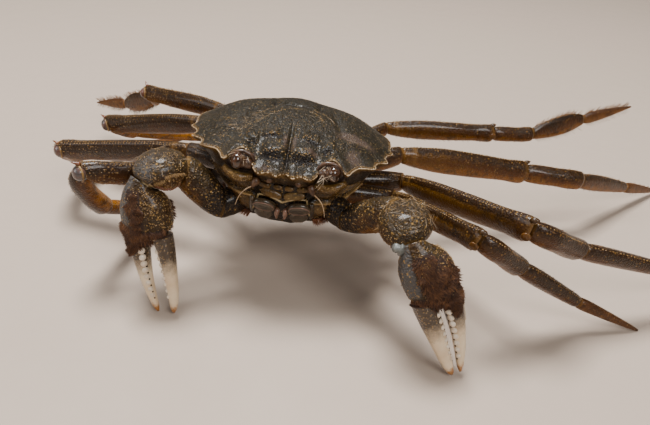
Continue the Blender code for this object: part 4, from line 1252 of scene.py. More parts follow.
SHAPES = {
    "base": ((0.0, 0.95, 0.8), (0.45, 1.05, 0.82), (0.75, 1.0, 0.8), (1.0, 0.86, 0.70)),
    "merus": (
        (0.0, 0.80, 0.62), (0.10, 0.92, 0.80), (0.30, 1.0, 1.0), (0.60, 1.0, 0.98),
        (0.84, 0.96, 0.90), (0.93, 1.03, 0.96), (1.0, 1.06, 0.94)),
    "carpus": (
        (0.0, 0.78, 0.64), (0.10, 0.90, 0.76), (0.30, 0.98, 0.80), (0.55, 0.94, 0.78), (0.80, 1.0, 0.82),
        (1.0, 0.98, 0.78)),
    "propodus": ((0.0, 0.72, 0.58), (0.14, 0.82, 0.70), (0.45, 0.80, 0.70), (0.8, 0.72, 0.58),
    (1.0, 0.66, 0.48)),
    "dactyl": (
        (0.0, 0.60, 0.42), (0.12, 0.62, 0.50), (0.40, 0.52, 0.42), (0.70, 0.38, 0.27),
        (0.90, 0.24, 0.16), (1.0, 0.13, 0.09)),
    "paddle_propodus": (
        (0.0, 0.72, 0.62), (0.15, 0.72, 0.86), (0.45, 0.66, 1.12), (0.75, 0.60, 1.06), (1.0, 0.52, 0.62)),
    "paddle_dactyl": (
        (0.0, 0.46, 0.52), (0.15, 0.46, 0.66), (0.45, 0.40, 0.56), (0.75, 0.30, 0.32), (1.0, 0.13, 0.10)),
}


def leg_joints(side, number):
    """Places of a leg's joints, from hip to tip."""
    shoulder, *angles = POSE[(side, number)]
    out = 1 if side == "L" else -1
    hip = HIPS[number]
    joints = [settle((out * hip[0], hip[1], hip[2])), Vector(shoulder)]
    for length, (azimuth, elevation) in zip(LENGTHS[number], angles):
        if elevation is None:
            elevation = -math.degrees(math.asin((joints[-1].z - TIP_LEVEL) / length))
        joints.append(joints[-1] + heading(side, azimuth, elevation) * length)
    return joints


def joint_faces(joints):
    """Directions in which the joints of a limb face, halfway between its segments."""
    lines = [(after - before).normalized() for before, after in zip(joints, joints[1:])]
    return [lines[0]] + [(a + b).normalized() for a, b in zip(lines, lines[1:])] + [lines[-1]]


def dorsal(joints):
    """Upward vector of a leg's crest, leaning to the outside of its bend."""
    merus = (joints[2] - joints[1]).normalized()
    lower = (joints[-1] - joints[2]).normalized()
    up = Vector((0, 0, 1))
    up = (up - merus * up.dot(merus)).normalized()
    bend = merus * lower.dot(merus) - lower
    if merus.angle(lower) > math.radians(25):
        up = (up + bend.normalized() * 0.9).normalized()
    return up


def section(center, tangent, up, half_thick, half_high, sides, crest_share, ridge=0.0):
    """One ring of a limb segment, narrower towards its upper crest."""
    across = tangent.cross(up).normalized()
    top = across.cross(tangent).normalized()
    ring = []
    for index in range(sides):
        angle = 2 * math.pi * (index + 0.5) / sides
        wide, high = math.cos(angle), math.sin(angle)
        wide = math.copysign(abs(wide) ** 0.85, wide)
        if high > 0:
            wide *= 1 - crest_share * high * high
        # Two low ribs on each flank
        flute = 1 - ridge * math.cos(4 * angle) * 0.5
        ring.append(center + across * (half_thick * wide * flute) + top * (half_high * high))
    return ring


def segment(start, end, first, last, up, shape, size, sides, rows, curved, crest_share, gaps=(1, 1),
        ridge=0.05):
    """Rings of a shell segment, its upward vector at the end, and the frame of each ring."""
    chord = (end - start).normalized()
    rings, frames = [], []
    before = None
    for row in range(rows + 1):
        step = row / rows
        thick, high = smooth_value(shape, step)
        if curved:
            center = hermite(start, end, first, last, step)
            near = hermite(start, end, first, last, min(1.0, step + 0.02))
            far = hermite(start, end, first, last, max(0.0, step - 0.02))
            tangent = (near - far).normalized()
        else:
            center = start.lerp(end, step)
            if step < 0.5:
                tangent = first.lerp(chord, min(1.0, step / 0.16)).normalized()
            else:
                tangent = last.lerp(chord, min(1.0, (1 - step) / 0.16)).normalized()
        if row == 0:
            tangent = first
            center = center + tangent * (0.5 * SEAM * gaps[0])
        if row == rows:
            tangent = last
            center = center - tangent * (0.5 * SEAM * gaps[1])
        up = carry(up, before, tangent) if before else up - tangent * up.dot(tangent)
        up.normalize()
        before = tangent
        lip = 1.0
        if row == 0 or row == rows:
            lip = 0.93
        half_thick, half_high = 0.5 * size[0] * thick * lip, 0.5 * size[1] * high * lip
        rings.append(section(center, tangent, up, half_thick, half_high, sides, crest_share, ridge))
        frames.append((center, tangent.copy(), up.copy(), half_thick, half_high))
    return rings, up, frames


def keep_above_floor(rings):
    return [[Vector((p.x, p.y, max(p.z, 0.0))) for p in ring] for ring in rings]


def flank_tone(row, column):
    """0 along the upper crest, 1 along the lower edge of a segment."""
    high = math.sin(2 * math.pi * column)
    return 0.5 - 0.5 * high


def joint_rim(low_end, high_end, banded=False):
    """Pale edges at the ends of a segment, and a second pale band near its start."""
    def rule(row, column):
        tone = 0.6 * max(0.0, 1 - row / 0.03) * low_end + 0.6 * max(0.0, 1 - (1 - row) / 0.03) * high_end
        if banded:
            tone += 0.55 * math.exp(-((row - 0.085) / 0.012) ** 2)
        return min(1.0, tone)
    return rule


def build_knee(side, number, before, after, rings):
    """The bare round joint at the end of a thigh with a folded lower leg, with its ring and spine."""
    center, tangent, top, thick, high = before[-1]
    rng = random.Random(700 + number)
    size = 0.5 * (thick + high)
    outer = (tangent - after[4][1] * 0.55 + Vector((0, -0.45, 0.12))).normalized()
    across = outer.cross(Vector((0, 0, 1))).normalized()
    rise = across.cross(outer)
    spot = center + outer * (0.50 * size)
    ball, hoop = [], []
    for t in np.linspace(0.02, 0.98, 16):
        width = 0.74 * size * math.sin(math.pi * t) ** 0.85 + 0.03
        lump = 1 + 0.05 * noise.noise(spot + outer * t * 4)
        middle = spot - outer * (0.74 * size * math.cos(math.pi * t))
        ball.append(oval(middle, across, rise, width * lump, width, 24))
    for angle in np.linspace(0, 2 * math.pi, 37):
        spoke = across * math.cos(angle) + rise * math.sin(angle)
        hoop.append(spot + outer * (0.12 * size) + spoke * (0.76 * size))
    spine = [
        center + top * (high * 0.85 + 0.38 * step) - tangent * (0.9 - 0.22 * step) for step in range(6)]
    # The ball's grey-blue colour is painted reflection
    for name, form, material in (
        ("ring", tube(hoop, [0.27] * 37, 8, outer), "bead"), ("ball", ball, "knob"),
        ("spine", tube(spine, [0.55, 0.5, 0.42, 0.32, 0.2, 0.06], 10, tangent), "rust"),
    ):
        form_piece(f"leg_{side}{number}_knee_{name}", [form], material, "leg_shell", 0.4, 0.2)
    beads = []
    for _ in range(240):
        row = int(len(rings) * (1 - 0.30 * rng.random() ** 1.4)) - 2
        column = rng.randrange(len(rings[0]))
        point = rings[row][column].lerp(rings[row + 1][column], rng.random())
        lift = (point - before[min(row, len(before) - 1)][0]).normalized()
        beads.append(bead(point, rng.uniform(0.09, 0.19), tuple(lift), 0.9))
    grow_beads(f"leg_{side}{number}_knee_beads", beads, "bead", "leg_shell")


def build_hinge(side, number, frames):
    """Knobs on both flanks of the knee, with a low spine over the end of the thigh."""
    center, tangent, top, thick, high = frames[-1]
    across = tangent.cross(top)
    shell = Shell()
    for where in (-1, 1):
        spot = center + across * (where * 0.86 * thick) - tangent * 0.3 - top * 0.1 * high
        knob = plate(spot, tangent, across * where, 1.15, 0.42 * high, 0.5, 14, 18)
        shell.take(knob, steady(0.55), steady(0.25), row_share)
    lump = [
        center + top * (high * (0.86 + 0.06 * step)) + tangent * (0.42 * step - 1.2) for step in range(6)]
    spine = tube(lump, [0.25, 0.6, 0.75, 0.7, 0.5, 0.12], 12, across)
    shell.take(spine, steady(0.2), steady(0.1), row_share)
    finish(shell.build(f"leg_{side}{number}_knee_knobs", PAINTS["leg"]), "leg_shell")


def front_band(strength):
    """An amber band along the front flank of a leg, strongest near the body: the leg's own amber with
    painted sheen, its strength given by the caller.
    """
    def rule(row, column):
        share = math.cos(2 * math.pi * (column + 0.05))
        return strength * clamp((share - 0.35) / 0.25) * (1.05 - 0.75 * row)
    return rule


def edge_granules(frames, rows, length, shifts, rng):
    """Rows of granules along the upper and lower edges of a segment."""
    beads = []
    total = int(length / 0.62)
    for where in (1, -1):
        for step in range(1, total):
            center, tangent, top, _, high = frames[min(rows, int(step / total * rows))]
            lean = top * where
            for shift in shifts:
                across = tangent.cross(top)
                point = center + lean * (high * 0.985) + across * shift + tangent * rng.uniform(-0.2, 0.2)
                beads.append(bead(point, rng.uniform(0.13, 0.22), tuple(lean)))
    return beads


def edge_bristles(frames, rows, length, index, paddle, rng):
    """Short bristles along both edges of a segment, long and dense on the last leg's paddle."""
    bristles = []
    for _ in range(int(length * (9.0 if paddle else 2.2))):
        spot = rng.uniform(0.04, 0.93)
        center, tangent, top, thick, high = frames[min(rows, int(spot * rows))]
        across = tangent.cross(top)
        where = 1 if rng.random() < 0.55 else -1
        spread = rng.uniform(-0.35, 0.35)
        lean = (top * where + across * spread).normalized()
        root = center + top * (where * high * 0.94) + across * (spread * thick)
        lie = (lean * 0.75 + tangent * 0.9 + across * rng.uniform(-0.2, 0.2)).normalized()
        long = rng.uniform(1.2, 2.6) if paddle else rng.uniform(0.4, 1.1)
        if root.z + lie.z * long < 0.1:
            continue
        place = (0.25 if where > 0 else 0.75) + 0.3 * spread
        size = (0.13, 0.13, long)
        bristles.append((root, tuple(lie), tuple(lean), size, place, (index + spot) / 5, rng.random()))
    return bristles


def build_leg(side, number):
    joints = leg_joints(side, number)
    faces = joint_faces(joints)
    up = dorsal(joints)
    size = MERUS_SIZE[number]
    base_up = carry(up, (joints[2] - joints[1]).normalized(), faces[1])
    base_up = carry(base_up, faces[1], (joints[1] - joints[0]).normalized())
    rng = random.Random(100 * number + (1 if side == "L" else 2))
    beads, bristles = [], []
    sides = 28 if FINE else 16
    ends = []
    for index, name in enumerate(("base", "merus", "carpus", "propodus", "dactyl")):
        shape = SHAPES[name]
        if number == 5 and name in ("propodus", "dactyl"):
            shape = SHAPES["paddle_" + name]
        rows = 44 if name == "merus" else 26
        current = base_up if index == 0 else up
        rings, after, frames = segment(
            joints[index], joints[index + 1], faces[index], faces[index + 1], current, shape, size,
            sides, rows, name == "carpus", 0.0 if name == "base" else 0.35,
            (0 if index == 0 else 1, 0 if index == 4 else 1), 0.0 if name == "base" else 0.06)
        if index > 0:
            up = after
        ends.append(frames)
        rings = keep_above_floor(rings)
        if name == "merus":
            thigh = rings
        shell = Shell()
        # The amber band carries painted light: it is stronger on the left legs, which stand in the light,
        # than on the shaded right legs
        strength = (0.95 if name == "merus" else 0.25) * (1.0 if side == "L" else 0.45)
        amber = front_band(strength * (0.5 if number > 3 else 1.0))
        shell.take(rings, flank_tone, joint_rim(index > 0, index < 4, name == "merus"), row_share, amber)
        slot = "dactyl_shell" if name == "dactyl" else "leg_shell"
        made = shell.build(f"leg_{side}{number}_{name}", PAINTS["dactyl" if name == "dactyl" else "leg"])
        finish(made, slot, f"{name}_{side}{number}")
        length = (joints[index + 1] - joints[index]).length
        if name != "dactyl":
            beads += edge_granules(frames, rows, length, (-0.3, 0.3) if name == "merus" else (0.0,), rng)
        if index > 1 or (name == "merus" and number == 5):
            paddle = number == 5 and index > 2
            bristles += edge_bristles(frames, rows, length, index, paddle, rng)
    if side == "R":
        build_knee(side, number, ends[1], ends[2], thigh)
    else:
        build_hinge(side, number, ends[1])
    grow_beads(f"leg_{side}{number}_beads", beads, "bead", "leg_shell")
    grow_hair(f"leg_{side}{number}_bristles", bristles, "bristle", "leg_shell")
    build_membranes(f"leg_{side}{number}_membranes", ends)


def build_membranes(name, ends):
    """Soft folded skin that fills the joints between the hard segments."""
    forms = []
    for before, after in zip(ends, ends[1:]):
        a, b = before[-1], after[0]
        rings = []
        for step in np.linspace(-1.3, 1.3, 9):
            source = a if step < 0 else b
            center = source[0] + source[1] * (step * 0.6)
            share = 0.80 if abs(step) > 0.4 else 0.90
            thick = share * min(a[3], b[3])
            high = share * min(a[4], b[4])
            fold = 0.10 * (1 if int((step + 1.3) / 0.325) % 2 else -1)
            rings.append(section(center, a[1], a[2], thick + fold, high + fold, 20, 0.2))
        forms.append(rings)
    form_piece(name, forms, "membrane", "leg_shell", 0.6, 0.0)


# Claws


HAND = {  # place along the hand, centre across it, half width, half thickness
    "L": (
        (0.0, -0.2, 2.9, 2.9), (3.0, -1.0, 5.0, 4.0), (6.0, -1.3, 6.2, 4.75), (9.7, -1.5, 6.3, 4.9),
        (12.3, -1.6, 5.9, 4.5), (13.3, -2.8, 4.6, 4.1), (14.4, -4.7, 2.75, 3.4), (17.85, -4.8, 2.45, 2.9),
        (21.8, -4.6, 2.1, 2.35), (25.9, -4.1, 1.7, 1.8), (30.1, -3.3, 1.3, 1.35), (33.5, -2.4, 0.85, 0.9),
        (35.0, -2.0, 0.35, 0.35)),
    "R": (
        (0.0, -0.2, 2.9, 2.9), (3.0, -0.5, 5.2, 4.0), (6.0, -0.4, 6.5, 4.75), (9.7, -0.4, 6.7, 4.9),
        (12.3, -0.6, 6.2, 4.5), (13.3, -2.0, 4.8, 4.1), (14.4, -3.9, 2.75, 3.4), (17.85, -4.0, 2.3, 2.8),
        (21.8, -3.9, 1.95, 2.25), (25.9, -3.6, 1.6, 1.75), (30.1, -3.0, 1.2, 1.3),
        (33.5, -2.3, 0.8, 0.85),
        (35.0, -1.9, 0.35, 0.35)),
}
BLADE = {  # the movable finger, from its hinge
    "L": (
        (13.8, 1.7, 2.7, 2.9), (17.0, 1.4, 2.8, 2.8), (21.2, 1.1, 2.55, 2.35), (25.0, 0.9, 2.15, 1.95),
        (29.1, 0.7, 1.75, 1.5), (32.5, 0.5, 1.25, 1.1), (34.2, 0.4, 0.85, 0.75), (35.0, 0.3, 0.35, 0.3)),
    "R": (
        (13.8, 3.3, 2.4, 2.8), (17.0, 3.6, 2.15, 2.6), (21.2, 3.8, 1.85, 2.2), (25.0, 3.8, 1.6, 1.85),
        (29.1, 3.7, 1.4, 1.5), (32.5, 3.4, 1.1, 1.1), (34.2, 3.1, 0.75, 0.75), (35.0, 2.9, 0.35, 0.3)),
}


def claw_frame(side):
    """Wrist, length, width and face directions of a hand, and its scale."""
    start, end = Vector(CLAW[side][3]), Vector(CLAW[side][4])
    along = (end - start).normalized()
    inward = Vector((-1 if side == "L" else 1, -0.25, 0.0))
    wide = (inward - along * inward.dot(along)).normalized()
    face = wide.cross(along).normalized()
    if face.y > 0:
        face = -face
    return start, along, wide, face, (end - start).length / HAND_LENGTH


def down_hand(place, scale):
    """Way from the wrist to a place of the hand's tables; the fingers stretch to reach the floor."""
    if place <= PALM_LENGTH:
        return place
    stretch = (HAND_LENGTH * scale - PALM_LENGTH) / (HAND_LENGTH - PALM_LENGTH)
    return PALM_LENGTH + (place - PALM_LENGTH) * stretch


def hand_rings(side, table, sides, rows, lean_first=None):
    """Rings of the hand or the movable finger, from its table."""
    start, along, wide, face, scale = claw_frame(side)
    rings = []
    first, last = table[0][0], table[-1][0]
    for row in range(rows + 1):
        share = row / rows
        place = first + (last - first) * share
        across, half_wide, half_thick = smooth_value(table, place)
        turn_wide, turn_face = wide, face
        center = start + along * down_hand(place, scale) + wide * across
        if lean_first is not None and place < 4.0:
            lean = along.lerp(lean_first, (1 - place / 4.0) ** 1.5).normalized()
            turn = along.rotation_difference(lean)
            turn_wide, turn_face = turn @ wide, turn @ face
            if row == 0:
                center = center + lean * (0.5 * SEAM)
        rings.append(oval(center, turn_wide, turn_face, max(half_wide, 0.2), max(half_thick, 0.2), sides,
            0.92))
    return rings


def carpus_sheen(strength):
    """Painted sheen: bluish grey over the outer end of the carpus."""
    return lambda row, column: strength * max(0.0, math.cos(2 * math.pi * (column - 0.3))) * row


def on_rings(rings, row, column, share):
    """A place between a point of a ring and its diagonal neighbour on the next ring."""
    return rings[row][column].lerp(rings[row + 1][(column + 1) % len(rings[0])], share)


def build_teeth(side):
    """Blunt teeth along both cutting edges, with near-black beads of painted shade in the gaps between
    them.
    """
    start, along, wide, face, scale = claw_frame(side)
    teeth, gaps = [], []
    for table, sign in ((HAND[side], 1), (BLADE[side], -1)):
        for index in range(TEETH):
            for shift, kept in ((0.0, teeth), (0.5, gaps)):
                place = 17.6 + 14.4 * (index + shift) / TEETH
                across, half_wide, half_thick = smooth_value(table, place)
                size = (0.95 if sign > 0 else 0.7) * (1 - 0.045 * index)
                lift = (wide * sign * 0.8 + face * 0.6).normalized()
                root = wide * (sign * half_wide * 0.70) + face * (half_thick * 0.70)
                if shift:
                    root = wide * (sign * half_wide * 0.86) + face * (half_thick * 0.5)
                    size *= 0.36
                point = start + along * down_hand(place, scale) + wide * across + root
                kept.append((point, (0, 0, 1), tuple(lift), (size, size, size * 0.8), 0, 0, 0))
    grow_beads(f"claw_{side}_teeth", teeth, "tooth", "finger_enamel", 3)
    grow_beads(f"claw_{side}_tooth_gaps", gaps, "shade_fill", "finger_enamel", 2)


def build_finger_hinge(side):
    """The knob at the hinge of the movable finger, and its groove as a near-black tube of painted shade."""
    start, along, wide, face, _ = claw_frame(side)
    across, half_wide, half_thick = smooth_value(BLADE[side], 13.9)
    hinge = start + along * 13.6 + wide * (across - half_wide * 0.55) + face * (half_thick * 0.92)
    knob = plate(hinge, wide, face, 1.25, 0.9, 0.7, 14, 18)
    form_piece(f"claw_{side}_hinge_knob", [knob], "pearl", "claw_shell", 0.6, 0.5)
    groove = []
    for index in range(20):
        angle = math.pi * (0.02 + 0.96 * index / 19)
        groove.append(start + along * 13.55 + wide * (across + 1.08 * half_wide * math.cos(angle))
                      + face * (1.08 * half_thick * math.sin(angle)))
    groove = tube(groove, [0.28] * 20, 8, along)
    form_piece(f"claw_{side}_hinge_groove", [groove], "shade_fill", "claw_shell", 0.5, 0.0)


def build_claw(side):
    points = [Vector(point) for point in CLAW[side]]
    faces = joint_faces(points)
    start, along, wide, face, _ = claw_frame(side)
    rng = random.Random(51 if side == "L" else 52)
    up = Vector((0, 0, 1))
    up = (up - faces[0] * up.dot(faces[0])).normalized()
    sizes = ((7.0, 7.2), (7.6, 8.2), (12.6, 9.6))
    shapes = (
        ((0.0, 1.0, 1.0), (0.5, 1.0, 1.0), (1.0, 0.86, 0.86)),
        ((0.0, 0.8, 0.75), (0.2, 0.95, 0.95), (0.6, 1.0, 1.05), (0.9, 1.0, 1.0), (1.0, 0.9, 0.9)),
        ((0.0, 0.56, 0.56), (0.12, 0.80, 0.80), (0.38, 1.0, 1.0), (0.68, 0.96, 0.96), (0.9, 0.72, 0.72),
         (1.0, 0.50, 0.48)),
    )
    beads, ends = [], []
    for index, name in enumerate(("base", "merus", "carpus")):
        rings, up, frames = segment(
            points[index], points[index + 1], faces[index], faces[index + 1], up, shapes[index],
            sizes[index], 36, 30, name == "carpus", 0.0, (0 if index == 0 else 1, 1), 0.03)
        ends.append(frames)
        shell = Shell()
        sheen, shade = None, None
        # shade is painted shade: the base and the merus near the body go dark where they sit under the
        # carapace
        if name == "base":
            shade = steady(1.0)
        elif name == "merus":
            shade = lambda row, column: max(0.0, 0.95 - 1.2 * row)
        else:
            # Painted sheen on the carpus, stronger on the right claw
            sheen = carpus_sheen(0.6 if side == "R" else 0.15)
        shell.take(rings, flank_tone, joint_rim(index > 0, True), row_share, sheen, shade)
        finish(shell.build(f"claw_{side}_{name}", PAINTS["claw"]), "claw_shell", f"{name}_{side}1")
        grains = 620 if name == "carpus" else 200
        for _ in range(grains if name != "base" else 0):
            row = rng.randrange(2, len(rings) - 2)
            column = rng.randrange(len(rings[0]))
            point = on_rings(rings, row, column, rng.random())
            normal = (point - frames[row][0]).normalized()
            beads.append(bead(point, rng.uniform(0.08, 0.19), tuple(normal), 0.8))
        if name == "carpus":
            dress_carpus(side, rings, frames, rng)
    # Hand: palm and fixed finger in one shell, then the movable finger
    rows, split = 90, 44
    rings = hand_rings(side, HAND[side], split, rows, faces[3])
    shell = Shell()
    shell.take(
        keep_above_floor(rings), steady(0.30), steady(0.0),
        lambda row, column: max(0.0, (row - 0.40) / 0.60),
        lambda row, column: palm_sheen(side, HAND_LENGTH * row, column))
    hand = shell.build(f"claw_{side}_palm", PAINTS["claw"])
    hand.data.materials.append(PAINTS["finger"])
    hand.data.materials.append(PAINTS["shade_fill"])
    # Where fur grows the palm takes the near-black painted shade that shows between the locks; the fingers
    # take the enamel
    for poly in hand.data.polygons:
        corner = min(poly.vertices)
        row, column = divmod(corner, split)
        angle = 2 * math.pi * (column + 0.5) / split
        if corner < (rows + 1) * split:
            place = HAND_LENGTH * row / rows
            if furry(side, math.sin(angle), place, math.cos(angle)):
                poly.material_index = 2
            elif place > FINGER_START:
                poly.material_index = 1
    finish(hand, "claw_shell", f"palm_{side}1")
    rings_blade = hand_rings(side, BLADE[side], 32, 60)
    form_piece(
        f"claw_{side}_dactyl", [keep_above_floor(rings_blade)], "finger", "finger_enamel", 0.4, 0.0,
        f"dactyl_{side}1")
    build_teeth(side)
    build_finger_hinge(side)
    # Pearl rows down the outer edge of the hand, granules over its shell
    pearls = []
    for index in range(46):
        place = 2.5 + 19.5 * index / 45
        across, half_wide, _ = smooth_value(HAND[side], place)
        for lift in (-0.45, 0.45):
            point = start + along * (place + 0.2 * lift) + wide * (across - half_wide) + face * lift
            pearls.append(bead(point, rng.uniform(0.20, 0.30), tuple(-wide)))
    grow_beads(f"claw_{side}_pearls", pearls, "pearl", "claw_shell", 2)
    for _ in range(1100):
        row = rng.randrange(4, 37)
        column = rng.randrange(len(rings[0]))
        if palm_sheen(side, HAND_LENGTH * row / rows, column / split) > 0.3 and rng.random() < 0.75:
            continue
        point = on_rings(rings, row, column, rng.random())
        normal = (point - sum(rings[row], Vector()) / len(rings[row])).normalized()
        beads.append(bead(point, rng.uniform(0.10, 0.2), tuple(normal), 0.8))
    grow_beads(f"claw_{side}_granules", beads, "bead", "claw_shell")
    build_fur(side, rng)
    bulge = start + wide * 2.0 + face * 0.3 - along * 0.1
    folds = plate(bulge, (wide - along * 0.5).normalized(), face, 2.5, 1.7, 1.5, 24, 30)
    for row, ring in enumerate(folds):
        for column, point in enumerate(ring):
            swell = 0.22 * math.sin(0.9 * row + 1.5 * noise.noise(point * 0.5))
            ring[column] = point + (point - bulge).normalized() * swell
    skin = "pale_skin" if side == "L" else "cream"
    form_piece(f"claw_{side}_wrist_skin", [folds], skin, "claw_shell", 0.5, 0.0)
    build_membranes(f"claw_{side}_membranes", ends)


def palm_sheen(side, place, column):
    """Smooth parts of the palm with bluish grey painted sheen: a plate along the outer edge, or a patch on
    the inner side.
    """
    share = math.cos(2 * math.pi * column)
    if math.sin(2 * math.pi * column) < -0.2:
        return 0.0
    if side == "R":
        return clamp((-0.15 - share) / 0.2) * clamp((11.5 - place) / 3.0)
    return clamp((share - 0.45) / 0.2) * clamp((12.0 - place) / 2.0)


def dress_carpus(side, rings, frames, rng):
    """Dark serrated row, golden bristles and fine pale hairs of the carpus, and its inner spine."""
    out = 1 if side == "L" else -1
    rust, golden, pale = [], [], []
    down = Vector((0.15 * out, -0.80, -0.55)).normalized()
    inner = Vector((-out, -0.75, 0.25)).normalized()
    rows = len(rings) - 1
    for row in range(3, rows - 3):
        for kept, aim in ((rust, down), (golden, inner)):
            spot = max(rings[row], key=lambda point: (point - frames[row][0]).dot(aim))
            after = max(rings[row + 1], key=lambda point: (point - frames[row + 1][0]).dot(aim))
            for share in (0.0, 0.5):
                point = spot.lerp(after, share)
                if kept is rust:
                    rust.append(bead(point, rng.uniform(0.20, 0.30), tuple(aim), 1.5))
                elif side == "R":
                    for _ in range(4):
                        lie = aim * 0.6 + Vector((-0.25 * out, -0.35, -0.7)) + scatter(rng, 0.4, 0.4, 0.4)
                        place = rings[row].index(spot) / len(rings[row])
                        root = point - aim * 0.1
                        golden.append(hair(
                            rng, root, lie.normalized(), aim, 0.07, (0.5, 1.5), place, row / rows))
    for _ in range(90):
        row = rng.randrange(3, rows - 3)
        column = rng.randrange(len(rings[0]))
        point = rings[row][column]
        normal = (point - frames[row][0]).normalized()
        if normal.z < -0.1:
            continue
        lie = scatter(rng, 1, 1, 1)
        lie = (lie - normal * (lie.dot(normal) - 0.12)).normalized()
        place = column / len(rings[0])
        pale.append(hair(rng, point, lie, normal, 0.09, (1.2, 2.8), place, row / rows))
    grow_beads(f"claw_{side}_carpus_row", rust, "rust", "claw_shell")
    if golden:
        grow_hair(f"claw_{side}_carpus_bristles", golden, "golden", "claw_shell", 5, 4, 0.4)
    grow_hair(f"claw_{side}_carpus_hairs", pale, "pale_hair", "claw_shell", 5, 4, 0.4)
    center, tangent, top, thick, _ = frames[rows // 2]
    across = tangent.cross(top)
    side_way = across if across.x * out < 0 else -across
    spine = [center + side_way * (thick * 0.8 + 0.5 * step) + tangent * 0.12 * step for step in range(6)]
    spine = tube(spine, [1.1, 0.95, 0.75, 0.5, 0.3, 0.1], 12)
    form_piece(f"claw_{side}_carpus_spine", [spine], "claw", "claw_shell", 0.5, 0.3)


def furry(side, outward, place, share):
    """Whether fur grows at a place along the hand and a share across it, inner side positive."""
    if place > 15.6 + 3.0 * (1 - abs(share + 0.1)) or place < 1.6:
        return False
    if outward < 0:
        return place > 5.5 and abs(share) < 0.8
    if side == "L":
        patch = share > 0.42 and place < 11.6
        bare = share < -0.35 and place < 3.2
        return not patch and not bare and place > 2.0
    lobe = share > 0.34 - 0.012 * place and place < 11.4
    plate_side = share < -0.16 - 0.03 * max(0.0, 10.0 - place) and place < 9.0 + 2.0 * (share + 1)
    return not lobe and not plate_side


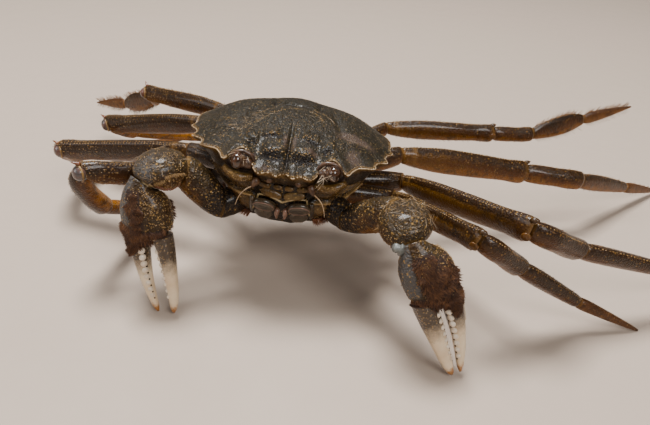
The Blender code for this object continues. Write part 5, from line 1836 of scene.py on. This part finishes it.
def build_fur(side, rng):
    """Mitten fur: matted locks and finer strands over both faces of the palm."""
    start, along, wide, face, _ = claw_frame(side)
    locks, strands = [], []
    for outward, amount in ((1, 1.0), (-1, 0.4)):
        for kind, total in (("lock", FUR_LOCKS), ("strand", FUR_STRANDS)):
            for _ in range(int(total * amount * (1 if FINE else 0.5))):
                place = rng.uniform(1.5, 18.8)
                across, half_wide, half_thick = smooth_value(HAND[side], place)
                share = rng.uniform(-0.96, 0.97)
                if not furry(side, outward, place, share):
                    continue
                rise = math.sqrt(max(0.0, 1 - share * share)) ** 0.92
                lift = (face * (outward * rise * half_wide) + wide * (share * half_thick)).normalized()
                root = start + along * place + wide * (across + half_wide * share)
                root = root + face * (outward * half_thick * rise)
                # Whorls leave small bare pits between them, where the palm's painted shade shows
                whorl = noise.noise(root * 0.62 + Vector((5, 1, 2)))
                if whorl > 0.30 and kind == "lock":
                    continue
                turn = 3.4 * noise.noise(root * 0.38) + rng.uniform(-0.4, 0.4)
                lie = (along * math.cos(turn) * 0.8 + along * 0.35 + wide * math.sin(turn)
                       + lift * rng.uniform(0.12, 0.5)).normalized()
                u = 0.5 + 0.25 * outward * (1 - share)
                v = place / HAND_LENGTH
                if kind == "lock":
                    size = (rng.uniform(0.28, 0.55), rng.uniform(0.14, 0.24), rng.uniform(0.9, 1.7))
                    tint = clamp(0.5 + 1.1 * noise.noise(root * 0.8) + rng.uniform(-0.25, 0.25))
                    locks.append((root - lift * 0.1, tuple(lie), tuple(lift), size, u, v, tint))
                else:
                    size = (rng.uniform(0.07, 0.11), rng.uniform(0.07, 0.11), rng.uniform(0.8, 1.7))
                    lie = (lie + lift * rng.uniform(0.0, 0.5)).normalized()
                    strands.append((root - lift * 0.1, tuple(lie), tuple(lift), size, u, v, rng.random()))
    # Fur that fills the fork between the fingers
    fork = 0.5 * (HAND[side][6][1] + BLADE[side][0][1])
    for _ in range(FORK_LOCKS):
        across = fork + rng.uniform(-1.9, 1.9)
        root = start + along * rng.uniform(11.8, 13.4) + wide * across + face * rng.uniform(-3.0, 3.3)
        lie = (along + wide * rng.uniform(-0.25, 0.25) + face * rng.uniform(-0.2, 0.3)).normalized()
        size = (rng.uniform(0.3, 0.6), rng.uniform(0.18, 0.3), rng.uniform(1.8, 3.8))
        locks.append((root, tuple(lie), tuple(face), size, 0.5 + 0.02 * across, 0.37, rng.random()))
    locks.sort(key=lambda lock: lock[5])
    half = len(locks) // 2
    for part, kept in (("upper", locks[:half]), ("lower", locks[half:])):
        grow_hair(f"claw_{side}_fur_locks_{part}", kept, "fur", "claw_shell", 5, 5, -0.22)
    grow_hair(f"claw_{side}_fur_strands", strands, "fur", "claw_shell", 3, 3, -0.25)


# Floor, light and camera


def build_stage():
    mesh = bpy.data.meshes.new("floor")
    corners = [(FLOOR_REACH * x, FLOOR_REACH * y, 0) for x, y in ((-1, -1), (1, -1), (1, 1), (-1, 1))]
    mesh.from_pydata(corners, [], [(0, 1, 2, 3)])
    floor = bpy.data.objects.new("floor", mesh)
    bpy.context.scene.collection.objects.link(floor)
    mesh.materials.append(plain_material("pale_floor", *FLOOR_TONES, 0.6, 30.0, 0.02))
    world = bpy.data.worlds.new("studio")
    world.use_nodes = True
    set_inputs(world.node_tree.nodes["Background"], {"Color": STUDIO_TONE, "Strength": STUDIO_STRENGTH})
    bpy.context.scene.world = world
    for name, place, power, size in LIGHTS:
        lamp = bpy.data.lights.new(name, "AREA")
        lamp.energy = power
        lamp.size = size
        light = bpy.data.objects.new(name, lamp)
        light.location = place
        light.rotation_euler = (-Vector(place)).to_track_quat("-Z", "Y").to_euler()
        bpy.context.scene.collection.objects.link(light)


def build_camera():
    turn, tilt, roll = (math.radians(angle) for angle in CAMERA_TURN)
    back = Vector((math.sin(turn) * math.cos(tilt), -math.cos(turn) * math.cos(tilt), math.sin(tilt)))
    right = (-back).cross(Vector((0, 0, 1))).normalized()
    up = right.cross(-back)
    x_axis = right * math.cos(roll) + up * math.sin(roll)
    y_axis = up * math.cos(roll) - right * math.sin(roll)
    data = bpy.data.cameras.new("camera")
    data.lens = CAMERA_LENS
    data.sensor_width = 36
    data.clip_start = 0.01
    camera = bpy.data.objects.new("camera", data)
    place = Matrix((x_axis, y_axis, back)).transposed().to_4x4()
    place.translation = BODY + Vector(CAMERA_PLACE)
    camera.matrix_world = place
    bpy.context.scene.collection.objects.link(camera)
    bpy.context.scene.camera = camera


build_stage()
build_camera()
build_carapace()
build_thorax()
build_face()
build_abdomen()
for side in ("L", "R"):
    build_claw(side)
    for number in (2, 3, 4, 5):
        build_leg(side, number)
